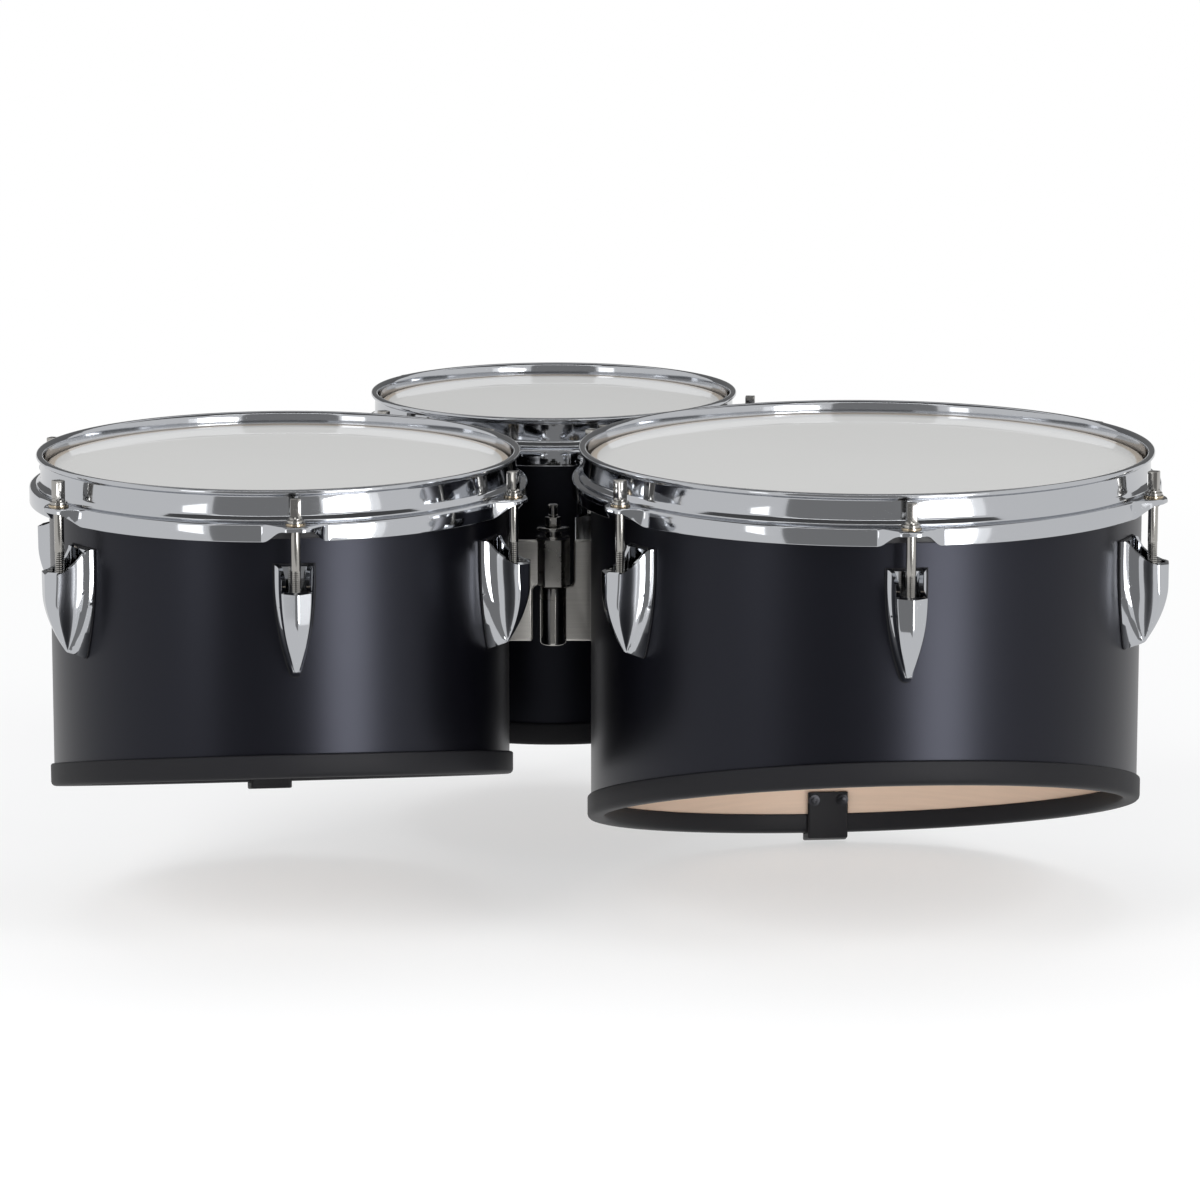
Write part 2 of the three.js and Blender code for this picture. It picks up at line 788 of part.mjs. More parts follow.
const large = drumPlan({
  tag: '12',
  diameter: largeDiameter,
  shortSide: largeShortSide,
  longSide: largeLongSide,
  drop: largeDrop,
  lugCount: frontLugCount,
  turn: largeTurnDegrees,
});
const medium = drumPlan({
  tag: '10',
  diameter: mediumDiameter,
  shortSide: mediumShortSide,
  longSide: mediumLongSide,
  drop: mediumDrop,
  lugCount: frontLugCount,
  turn: mediumTurnDegrees,
});
const small = drumPlan({
  tag: '8',
  diameter: smallDiameter,
  shortSide: smallDepth,
  longSide: smallDepth,
  drop: smallDrop,
  lugCount: smallLugCount,
  turn: smallTurnDegrees,
});
large.centre = new THREE.Vector3(large.radius + largeShellGap, 0, -large.drop);
medium.centre = new THREE.Vector3(-medium.radius - mediumShellGap, 0, -medium.drop);
const rearSpan = large.radius + small.radius + rearShellGap;
small.centre = new THREE.Vector3(0, Math.sqrt(rearSpan ** 2 - large.centre.x ** 2), -small.drop);
const frontPin = new THREE.Vector2(0, frontPinOffset);

// Where the carrier holds the set: between the sockets of the two receivers
function socketCentre(drum, bays) {
  const reach = drum.radius + seatGap + receiverPadThickness + socketDepth / 2;
  const angle = THREE.MathUtils.degToRad(drum.turn) + drum.bay * bays;
  return drum.centre.clone().add(polar(reach, angle, -receiverTop - receiverHeight / 2));
}
const largeReceiverBays = 2.5;
const mediumReceiverBays = 3.5;
const sockets = [socketCentre(large, largeReceiverBays), socketCentre(medium, mediumReceiverBays)];
const hold = sockets[0].clone().add(sockets[1]).multiplyScalar(0.5).setX(0);

const tenors = new THREE.Group();
const set = new THREE.Group();
set.position.copy(hold).negate();
tenors.add(set);
for (const drum of [large, medium, small]) {
  const group = new THREE.Group();
  group.position.copy(drum.centre);
  group.rotation.z = THREE.MathUtils.degToRad(drum.turn);
  group.updateMatrix();
  drum.place = group.matrix.clone();
  set.add(group);
  buildDrum(drum, group);
  if (drum === large) {
    buildReceiver(drum, largeReceiverBays, group);
  }
  if (drum === medium) {
    buildReceiver(drum, mediumReceiverBays, group);
  }
}
buildHinge('front_hinge', frontPin, large, medium, set);
buildHinge('rear_hinge', rearPin(large, small), large, small, set);

export default tenors;
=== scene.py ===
"""A trio of marching tenor drums, laid out as a Blender add-on and run as a script.

Lengths are metres. +Z is up, the audience stands at -Y and the player at +Y.
"""

import math

import bmesh
import bpy
from bpy.props import (
    CollectionProperty,
    FloatProperty,
    FloatVectorProperty,
    IntProperty,
    PointerProperty,
    StringProperty,
)
from mathutils import Matrix, Vector


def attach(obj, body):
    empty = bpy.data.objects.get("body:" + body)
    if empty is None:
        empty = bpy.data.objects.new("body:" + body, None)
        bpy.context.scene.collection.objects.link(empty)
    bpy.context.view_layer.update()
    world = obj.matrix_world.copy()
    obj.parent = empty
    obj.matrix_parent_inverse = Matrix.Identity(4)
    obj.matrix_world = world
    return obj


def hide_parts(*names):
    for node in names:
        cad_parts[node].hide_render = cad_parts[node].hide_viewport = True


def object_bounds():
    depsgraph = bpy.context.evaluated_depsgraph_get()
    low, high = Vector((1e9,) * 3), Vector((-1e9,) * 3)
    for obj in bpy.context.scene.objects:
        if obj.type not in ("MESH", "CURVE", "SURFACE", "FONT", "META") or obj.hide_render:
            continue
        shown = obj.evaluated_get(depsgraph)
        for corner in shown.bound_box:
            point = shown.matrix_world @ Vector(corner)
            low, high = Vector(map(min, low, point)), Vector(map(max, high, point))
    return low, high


bl_info = {
    "name": "Marching tenor drums",
    "version": (1, 0, 0),
    "blender": (4, 5, 0),
    "location": "3D View > Sidebar > Tenors",
    "description": "Builds the shells, heads, chrome hardware and hinges of a tenor trio",
    "category": "Add Mesh",
}

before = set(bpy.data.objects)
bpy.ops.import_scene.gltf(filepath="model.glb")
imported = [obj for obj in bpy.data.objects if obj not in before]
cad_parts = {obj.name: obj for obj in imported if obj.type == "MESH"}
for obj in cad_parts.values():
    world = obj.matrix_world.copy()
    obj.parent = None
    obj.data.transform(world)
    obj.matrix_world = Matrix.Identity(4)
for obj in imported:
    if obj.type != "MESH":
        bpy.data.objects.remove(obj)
CAD_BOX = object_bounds()

# Each drum's sizes and lugs, and the centre of its rim measured from the carrier's hold
DRUMS = (
    {"tag": "12", "body": "large_drum", "radius": 0.1524, "short_side": 0.155, "long_side": 0.2547,
     "lug_count": 6, "turn": math.radians(5), "centre": (0.1735, -0.128058, 0.089)},
    {"tag": "10", "body": "medium_drum", "radius": 0.127, "short_side": 0.1546, "long_side": 0.2153,
     "lug_count": 6, "turn": math.radians(6.5), "centre": (-0.1515, -0.128058, 0.087)},
    {"tag": "8", "body": "small_drum", "radius": 0.1016, "short_side": 0.1904, "long_side": 0.1904,
     "lug_count": 5, "turn": math.radians(14), "centre": (0.0, 0.089923, 0.086)},
)
HINGES = (
    {"tag": "front", "pin": (0.0, -0.098035), "first": "12", "second": "10"},
    {"tag": "rear", "pin": (0.105021, 0.030169), "first": "12", "second": "8"},
)
# Bays from each drum's first lug to its receiver
RECEIVERS = {"12": 2.5, "10": 3.5}
RIM_HEIGHT = 0.089

# Gaps where pieces touch: the one that the solids keep, and the finer one of the looks
SEAT = 0.0003
SKIN = 0.0001

# Steps of the turned bodies, and the angles from which an edge is rounded or shaded sharp
SHELL_STEPS = 192
FLESH_STEPS = 160
HOOP_STEPS_PER_BAY = 120
HINGE_STEPS = 48
ROD_STEPS = 32
SCREW_STEPS = 24
RECEIVER_STEPS = 24
FOOT_STEPS = 16
LEAF_PAD_STEPS = 12
CORNER_SEGMENTS = 3
SAME_POINT = 1e-7
SHARP_EDGE = math.radians(40)
SHARP_ARC_EDGE = math.radians(50)
SHARP_SHADING = math.radians(32)

# Head and rim: the bead's steps are (step in from its widest, depth below the wall)
FILM_DEPTH = 0.007
FILM_THICKNESS = 0.0005
FILM_RING_SHARES = (0.5, 0.9)
COLLAR_GAP = 0.0004
COLLAR_THICKNESS = 0.0009
COLLAR_ROUND = 0.0016
COLLAR_INNER_ROUND = 0.0008
FLESH_WIDTH = 0.0058
FLESH_HEIGHT = 0.0063
FLESH_ROUND = 0.0008
HOOP_WALL_GAP = 0.001
RIM_FLANGE = 0.0022
RIM_LIP = 0.0024
RIM_UNDERCUT = 0.0032
WALL_HEIGHT = 0.0138
BEAD_REACH = 0.0027
BEAD_STEPS = ((0.0003, 0.0022), (0.0001, 0.0028))
BEAD_FOOT = 0.001
EAR_DEPTH = 0.0173
SKIRT_REACH = 0.0107
SKIRT_DEPTH = 0.0272
HEM_SHARE = 0.6
EAR_REACH = 0.0219
EAR_LIP = 0.0006
EAR_FLAT = 0.0066
EAR_RUNOUT = 0.0112
SWEEP_FLAT = 0.003
SWEEP_RUNOUT = 0.0165
# Here and below, rounds are (corner numbers along the profile, radius)
HOOP_ROUNDS = (
    ((0,), 0.0022), ((1,), 0.0012), ((2,), 0.0007), ((3, 4), 0.0008), ((5, 6), 0.0003),
    ((7,), 0.0002), ((8,), 0.0016), ((9, 10), 0.0005), ((11,), 0.0006), ((12,), 0.0004),
)

# Shell, trim and foot
SHELL_WALL = 0.0055
EDGE_ROUND = 0.0012
EDGE_BEVEL = 0.004
TRIM_LIP = 0.002
TRIM_FLOOR = 0.003
TRIM_OUTER = 0.010
TRIM_INNER = 0.008
TRIM_ROUNDS = (((0,), 0.0026), ((1,), 0.0013), ((6,), 0.0012), ((7,), 0.0024))
FOOT_WIDTH = 0.0252
FOOT_WALL = 0.0026
FOOT_FLOOR = 0.004
FOOT_OUTER = 0.009
FOOT_INNER = 0.021
FOOT_ROUND = 0.001
FOOT_SCREWS = 0.017
FOOT_SCREW_DROP = 0.0042

# Rods: the washers and the collar under the head are (radius, height over the ear)
ROD_REACH = 0.015
ROD_LENGTH = 0.062
ROD_HEAD_TOP = 0.0028
ROD_HEAD_FOOT = 0.004
ROD_HEAD_ROUND = 0.0005
ROD_WASHERS = (
    (0.0054, 0), (0.0055, 0.0006), (0.0054, 0.0012), (0.0043, 0.0013), (0.0043, 0.0016), (0.0048, 0.0017),
    (0.0049, 0.0022), (0.0047, 0.0028), (0.0036, 0.0029), (0.0037, 0.0038), (0.0031, 0.0046), (0, 0.0046),
)
BRASS_TOP = 0.00125
THREAD_LENGTH = 0.0385
THREAD_PITCH = 0.0254 / 24
THREAD_DEPTH = 0.0003
THREAD_START_SHARE = 0.25

# Lugs: places down a lug run from 0 at its top to 1 at its tip
LUG_TOP = 0.041
LUG_ROWS = 40
LUG_ROW_POWER = 1.5
LUG_SHOULDER = 0.15
LUG_BACK_END = 1.09
LUG_TIP = 0.0026
LUG_TIP_POWER = 1.25
LUG_FACE_END = 0.98
LUG_FACE_RISE = 0.003
LUG_FACE_LEAST_SHARE = 0.001
LUG_RIDGE_ROUND = 0.0009
LUG_RIDGE_EASE = 1.4
LUG_CHAMFER = 0.0005
LUG_BODY_END = 0.92
LUG_RIDGE_CURVE = 0.4
LUG_RIDGE_LOSS = 0.515
LUG_RIDGE_POWER = 1.75
LUG_FOOT_SHARE = 0.98
LUG_SKIRT_TOP = 0.0042
LUG_SKIRT_GROWTH = 0.0068
LUG_SKIRT_EDGE = 0.0008
LUG_SKIRT_CURVE = ((0.0, 0.0), (0.47, 0.21), (0.76, 0.54), (1.0, 1.0))
LUG_CREASE_GAP = 0.0003
LUG_SCOOP_STEPS = (0.08, 0.18, 0.32, 0.48, 0.64, 0.8, 0.92)
LUG_SCOOP_PEAK = 27 / 4
LUG_HUG = 0.006
LUG_SAME_POINT = 2e-5
LUG_EDGE_ROUND = 0.0004
LUG_SHARP_EDGE = math.radians(24)
LUG_SHARP_SHADING = math.radians(15)
LUG_TOP_CURVE = ((0.0, 0.0), (0.18, 0.42), (0.4, 0.7), (0.68, 0.9), (1.0, 1.0))
LUG_DISH_START = 0.0032
LUG_DISH_DEPTH = 0.0124
POCKET_WALL = 0.0021
POCKET_FLOOR = 0.0195
POCKET_EDGE_DROP = 0.0126
POCKET_EDGE_REACH = 0.0006
GASKET_EDGE = 0.0005
GASKET_THICKNESS = 0.0005
GASKET_FADE = 40
GASKET_COLUMNS = 8

# Screws: a head is (radius, height), and the shares are of these two
LUG_SCREW = (0.0042, 0.0028)
LUG_SCREW_DROPS = (0.012, 0.034)
FOOT_SCREW = (0.0024, 0.0014)
LEAF_BOLT = (0.0036, 0.003)
RECEIVER_SCREW = (0.0034, 0.0026)
SCREW_WASHER_SHARE = 1.45
SCREW_WASHER_TOP = 0.0008
SCREW_DOME_FOOT = 0.001
SCREW_DOME_SHARES = ((0.92, 0.7), (0.55, 1), (0, 1))
SCREW_SLOT_SHARES = (1.1, 0.22, 0.1)

# Hinges: the steps in a turned wall are (1 where it is stepped, depth below its top)
LEAF_TOP = 0.0589
LEAF_BOTTOM = 0.1167
LEAF_THICKNESS = 0.003
LEAF_NOTCH = 0.0116
LEAF_ROUND = 0.003
LEAF_ROUND_SHARE = 0.3
LEAF_EDGE_ROUND = 0.0014
LEAF_BOLT_INSET = 0.013
LEAF_BOLT_SHARE = 0.55
PAD_WIDTH = 0.01996
PAD_THICKNESS = 0.003
PAD_ROUND = 0.0006
KNUCKLE_TOP = 0.0578
KNUCKLE_SPLIT = 0.085
KNUCKLE_GAP = 0.0008
HEX_RADIUS = 0.0096
HEX_ROUND = 0.0004
BARREL_RADIUS = 0.00755
BARREL_BOTTOM = 0.1185
BARREL_GROOVE = 0.0003
BARREL_STEPS = ((0, 0.007), (1, 0.0068), (1, 0.0062), (0, 0.006), (0, 0))
BARREL_ROUNDS = (((1,), 0.0016), ((6,), 0.0004))
STUD_RADIUS = 0.0025
STUD_TOP = 0.0387
STUD_SUNK = 0.004
STUD_RIB = 0.0004
STUD_STEPS = (
    (0, 0.0066), (1, 0.0064), (1, 0.0058), (0, 0.0056), (0, 0.0014), (1, 0.001), (1, 0.0003), (0, 0),
)
NUT_RADIUS = 0.0046
NUT_HEIGHT = 0.0052
WASHER_RADIUS = 0.0096
WASHER_THICKNESS = 0.0017
WASHER_BEVEL = 0.0008
WASHER_ROUND = 0.0003
SPACER_RADIUS = 0.0048
SPACER_HEIGHT = 0.0032

# Receivers
RECEIVER_TOP = 0.062
RECEIVER_HEIGHT = 0.052
RECEIVER_WIDTH = 0.062
RECEIVER_PAD = 0.003
RECEIVER_PAD_ROUND = 0.0008
RECEIVER_OVERLAP = 0.0004
RECEIVER_SCREWS = 0.0245
RECEIVER_SCREW_INSET = 0.01
SOCKET_WIDTH = 0.028
SOCKET_DEPTH = 0.012
SOCKET_WALL = 0.0032
SOCKET_ROUND = 0.0009

# Finish values that the settings leave out
LACQUER_TINT = (0.78, 0.81, 1.0, 1)
BRASS_COLOUR = (0.5, 0.42, 0.31, 1)
BLACKENED_AND_RECESS_SHADE_COLOUR = (0.03, 0.03, 0.033, 1)
GLUE_COLOUR = (0.62, 0.54, 0.45, 1)
GLUE_INSET = 0.0032
GLUE_SOFT_SHARE = 0.004
GLUE_RAMP_REACH = 1.1
COLOUR_MIX_INPUTS = (0, 6, 7)
COLOUR_MIX_OUTPUT = 2

# Studio: lamps for the even light, and cards that only gloss and metal reflect
FLOOR_COLOUR = (0.9, 0.9, 0.9, 1)
FLOOR_SIZE = 30.0
FLOOR_WHITE = 0.55
FLOOR_FADE_START = 0.35
FLOOR_FADE_END = 1.3
WORLD_COLOUR = (0.95, 0.97, 1.0, 1)
WORLD_FILL = 0.5
WHITE = (1, 1, 1, 1)
MIRRORED_WHITE = 0.8
SOFTBOXES = (
    ("key_softbox", (-1.8, -2.2, 2.0), (0, 0, 0), (1.6, 1.6), 54),
    ("side_softbox", (2.2, -1.6, 1.6), (0, 0, 0), (1.2, 1.6), 41),
    ("top_softbox", (0, 0.6, 2.8), (0, 0, 0), (2.6, 1.4), 21),
    ("low_softbox", (0.1, -2.6, 0.12), (0.1, 0, -0.1), (2.6, 0.5), 35),
)
CARDS = (
    ("camera_side_card", (-1.34, -2.37, -1.2), (0.535, -1.83, -1.2), (0, 0, 4.2), 0.255),
    ("right_bright_card", (0.961, -2.63, -0.8), (1.211, -1.491, -0.8), (0, 0, 1.1), 8.0),
    ("right_soft_card", (1.211, -1.491, -0.8), (1.255, -1.29, -0.8), (0, 0, 1.1), 1.25),
    ("left_bright_card", (-1.55, -1.68, -0.22), (-0.87, -1.37, -0.22), (0, 0, 0.6), 2.2),
    ("overhead_strip", (-1.3, -1.6, 2.32), (1.3, -1.6, 2.32), (0, 0.22, 0), 3.5),
    ("back_dark_card", (-2.5, 2.4, 0.2), (2.5, 2.4, 0.2), (0, 0, 2.0), 0.16),
    ("overhead_card", (-1.6, -1.5, 2.4), (1.6, -1.5, 2.4), (0, 2.6, 0), 0.09),
)

# Camera: its lens and sensor are in millimetres
CAMERA_LENS = 159.246
CAMERA_SENSOR = 36.0
CAMERA_SPOT = (0.00885, -3.0257, 0.57301)
CAMERA_TILT = math.radians(90 - 11.157)
CAMERA_HEADING = math.radians(-0.3417)
CAMERA_END = 50.0

FULL_TURN = 2 * math.pi
NO_TURN = Matrix.Identity(4)
INWARD = -1
OUTWARD = 1


def length_property(name, description, default):
    return FloatProperty(name=name, description=description, default=default, unit="LENGTH")


def colour_property(name, description, default):
    return FloatVectorProperty(name=name, description=description, default=default, subtype="COLOR",
                               size=4, min=0, max=1)


class TenorDrum(bpy.types.PropertyGroup):
    """One drum's own sizes"""

    tag: StringProperty(name="Tag", description="Nominal size in inches, as the frame's nodes name it",
                        default="12")
    body: StringProperty(name="Body", description="Rigid body that the shell belongs to",
                         default="large_drum")
    radius: length_property("Shell radius", "Outside of the shell", 0.1524)
    short_side: length_property("Short side", "Rim to bottom edge, towards the audience", 0.155)
    long_side: length_property("Long side", "Rim to bottom edge, towards the player", 0.2547)
    lug_count: IntProperty(name="Lugs", description="Lugs and rods round the shell", default=6, min=3)
    turn: FloatProperty(name="Turn", description="Turn of the lugs and of the slanted edge",
                        subtype="ANGLE", unit="ROTATION", default=0.0)
    centre: FloatVectorProperty(name="Centre", description="Centre of the rim's top", subtype="TRANSLATION",
                                unit="LENGTH", size=3, default=(0, 0, 0))


class TenorHardware(bpy.types.PropertyGroup):
    """Sizes that all the drums' hardware shares"""

    hoop_sheet: length_property("Hoop sheet", "Thickness of the hoop's steel", 0.0022)
    rod_radius: length_property("Rod radius", "Radius of a tension rod's shank", 0.0027)
    rod_head: length_property("Rod head", "Across the flats of a rod's square head", 0.0056)
    lug_height: length_property("Lug height", "Top to tip of a lug", 0.0612)
    lug_half_width: length_property("Lug half width", "Half the width of a lug's base", 0.011)
    lug_skirt: length_property("Lug skirt", "How far a lug's skirt draws in before its hollow", 0.0024)
    lug_reach: length_property("Lug reach", "Shell to the lug's front ridge", 0.0243)
    lug_face: length_property("Lug face", "Half the width of a lug's front", 0.0082)
    lug_scoop: length_property("Lug scoop", "How far a lug's sides are hollowed", 0.0012)


class TenorFinish(bpy.types.PropertyGroup):
    """Colours and sheens of the finishes"""

    lacquer: colour_property("Lacquer", "Black of the shells", (0.0012, 0.0012, 0.002, 1))
    wood: colour_property("Bare wood", "Inside of the shells", (0.72, 0.555, 0.435, 1))
    film: colour_property("Film", "White of the heads", (0.745, 0.74, 0.722, 1))
    chrome: colour_property("Chrome", "Plated hoops and lugs", (0.553, 0.567, 0.594, 1))
    steel: colour_property("Nickel", "Rods, pins and washers", (0.44, 0.428, 0.405, 1))
    rubber: colour_property("Rubber", "Trims, feet and gaskets", (0.009, 0.009, 0.0105, 1))
    lacquer_sheen: FloatProperty(name="Lacquer roughness", description="Roughness of the satin lacquer",
                                 subtype="FACTOR", min=0, max=1, default=0.33)


def drum_by_tag(tag):
    return next(drum for drum in bpy.context.scene.tenor_drums if drum.tag == tag)


def bay(drum):
    return FULL_TURN / drum.lug_count


def edge_height(drum, y):
    """Height of the slanted bottom edge at a place in the drum's own frame"""
    slope = (drum.long_side - drum.short_side) / (2 * drum.radius)
    return -(drum.long_side + drum.short_side) / 2 - slope * y


def place(drum, angle=0.0):
    """The drum's own frame, turned on to one of its lugs"""
    return Matrix.Translation(drum.centre) @ Matrix.Rotation(drum.turn + angle, 4, "Z")


def slant(drum):
    """A shear that carries a ring made flat at zero on to the slanted bottom edge"""
    shear = Matrix.Identity(4)
    middle = edge_height(drum, 0)
    shear[2][1] = edge_height(drum, 1) - middle
    shear[2][3] = middle
    return shear


def wire(bm, profile, rounds=(), closed=True):
    """A wire of (radius, height) points on the audience's side: rounds lists (corner numbers, radius)"""
    verts = [bm.verts.new((0, -radius, z)) for radius, z in profile]
    pairs = list(zip(verts, verts[1:]))
    if closed:
        pairs.append((verts[-1], verts[0]))
    for pair in pairs:
        bm.edges.new(pair)
    for corners, radius in rounds:
        bmesh.ops.bevel(bm, geom=[verts[corner] for corner in corners], offset=radius, offset_type="OFFSET",
                        segments=CORNER_SEGMENTS, profile=0.5, affect="VERTICES", material=-1)


def spin_wire(bm, steps, sweep=FULL_TURN):
    bmesh.ops.spin(bm, geom=bm.verts[:] + bm.edges[:], cent=(0, 0, 0), axis=(0, 0, 1), steps=steps,
                   angle=sweep, use_merge=sweep == FULL_TURN, use_duplicate=False)
    bmesh.ops.remove_doubles(bm, verts=bm.verts, dist=SAME_POINT)


def lathe(profile, steps, closed=True, rounds=()):
    """A turned body"""
    bm = bmesh.new()
    wire(bm, profile, rounds, closed)
    spin_wire(bm, steps)
    bmesh.ops.recalc_face_normals(bm, faces=bm.faces)
    return bm


def sector(profile, steps, middle, sweep):
    """A turned body that goes part of the way round, with both ends closed"""
    bm = bmesh.new()
    wire(bm, profile)
    bmesh.ops.rotate(bm, verts=bm.verts, cent=(0, 0, 0), matrix=Matrix.Rotation(middle - sweep / 2, 3, "Z"))
    spin_wire(bm, steps, sweep)
    ends = [edge for edge in bm.edges if edge.is_boundary]
    bmesh.ops.holes_fill(bm, edges=ends, sides=0)
    bmesh.ops.recalc_face_normals(bm, faces=bm.faces)
    return bm


def raise_by(bm, raised, rise):
    """Moves what an extrusion has made"""
    verts = [item for item in raised["geom"] if isinstance(item, bmesh.types.BMVert)]
    bmesh.ops.translate(bm, verts=verts, vec=rise)


def slab(outline, depth):
    """A flat outline of (x, y) points, raised by a depth along Z"""
    bm = bmesh.new()
    face = bm.faces.new([bm.verts.new((x, y, 0)) for x, y in outline])
    raise_by(bm, bmesh.ops.extrude_face_region(bm, geom=[face]), (0, 0, depth))
    bmesh.ops.recalc_face_normals(bm, faces=bm.faces)
    return bm


def block(width, depth, height):
    bm = bmesh.new()
    bmesh.ops.create_cube(bm, size=1.0)
    bmesh.ops.scale(bm, verts=bm.verts, vec=(width, depth, height))
    return bm


def soften(bm, width, limit=SHARP_EDGE, segments=2):
    """Rounds every edge that is sharper than the limit"""
    sharp = [edge for edge in bm.edges if edge.is_manifold and edge.calc_face_angle() > limit]
    bmesh.ops.bevel(bm, geom=sharp, offset=width, offset_type="OFFSET", segments=segments,
                    profile=0.5, affect="EDGES", clamp_overlap=True, material=-1)


def hexagon(radius, height, middle, spot=NO_TURN):
    """A six-sided body about a pin"""
    bm = bmesh.new()
    bmesh.ops.create_cone(bm, cap_ends=True, segments=6, radius1=radius, radius2=radius, depth=height)
    soften(bm, HEX_ROUND)
    bm.transform(spot @ Matrix.Translation((0, 0, middle)) @ Matrix.Rotation(math.pi / 6, 4, "Z"))
    return bm


def add_body(target, source, matrix=NO_TURN, material=None):
    """Adds one finished body to a piece, at its place"""
    source.transform(matrix)
    if material is not None:
        for face in source.faces:
            face.material_index = material
    mesh = bpy.data.meshes.new("body")
    source.to_mesh(mesh)
    source.free()
    target.from_mesh(mesh)
    bpy.data.meshes.remove(mesh)


def add_object(name, bm):
    """Puts a finished mesh into the scene"""
    mesh = bpy.data.meshes.new(name)
    bm.to_mesh(mesh)
    bm.free()
    item = bpy.data.objects.new(name, mesh)
    bpy.context.scene.collection.objects.link(item)
    return item


def finish_piece(bm, name, body, materials, replaced=(), crease=SHARP_SHADING):
    """Makes a piece of the object from a mesh that is already in its place"""
    piece = add_object(name, bm)
    for material in materials:
        piece.data.materials.append(material)
    for polygon in piece.data.polygons:
        polygon.use_smooth = True
    piece.data.set_sharp_from_angle(angle=crease)
    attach(piece, body)
    if replaced:
        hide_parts(*replaced)


def feed(tree, value, socket):
    """Puts a value, or what another node puts out, into a socket"""
    if isinstance(value, bpy.types.NodeSocket):
        tree.links.new(value, socket)
    else:
        socket.default_value = value


def add_node(tree, kind, inputs):
    """A new node, with a value or another node's output in each input named"""
    node = tree.nodes.new(kind)
    for name, value in inputs.items():
        feed(tree, value, node.inputs[name])
    return node


def math_node(tree, operation, *values):
    node = tree.nodes.new("ShaderNodeMath")
    node.operation = operation
    for value, socket in zip(values, node.inputs):
        feed(tree, value, socket)
    return node.outputs[0]


def noise(tree, vector, scale, detail, roughness=0.5):
    inputs = {"Vector": vector, "Scale": scale, "Detail": detail, "Roughness": roughness}
    return add_node(tree, "ShaderNodeTexNoise", inputs).outputs["Fac"]


def mix_shaders(tree, factor, first, second):
    node = tree.nodes.new("ShaderNodeMixShader")
    for value, socket in zip((factor, first, second), node.inputs):
        feed(tree, value, socket)
    return node.outputs[0]


def surface_marks():
    """Node group: handling marks that vary a roughness, and a fine ripple for a bump's height"""
    tree = bpy.data.node_groups.get("Surface marks")
    if tree:
        return tree
    tree = bpy.data.node_groups.new("Surface marks", "ShaderNodeTree")
    tree.interface.new_socket(name="Vector", in_out="INPUT", socket_type="NodeSocketVector")
    for name in ("Smudge Scale", "Grain Scale", "Roughness", "Spread"):
        tree.interface.new_socket(name=name, in_out="INPUT", socket_type="NodeSocketFloat")
    for name in ("Roughness", "Smudge", "Grain"):
        tree.interface.new_socket(name=name, in_out="OUTPUT", socket_type="NodeSocketFloat")
    source = tree.nodes.new("NodeGroupInput").outputs
    target = tree.nodes.new("NodeGroupOutput").inputs
    smudge = noise(tree, source["Vector"], source["Smudge Scale"], detail=5.0, roughness=0.6)
    grain = noise(tree, source["Vector"], source["Grain Scale"], detail=2.0)
    centred = math_node(tree, "SUBTRACT", smudge, 0.5)
    spread = math_node(tree, "MULTIPLY_ADD", centred, source["Spread"], source["Roughness"])
    tree.links.new(spread, target["Roughness"])
    tree.links.new(smudge, target["Smudge"])
    tree.links.new(grain, target["Grain"])
    return tree


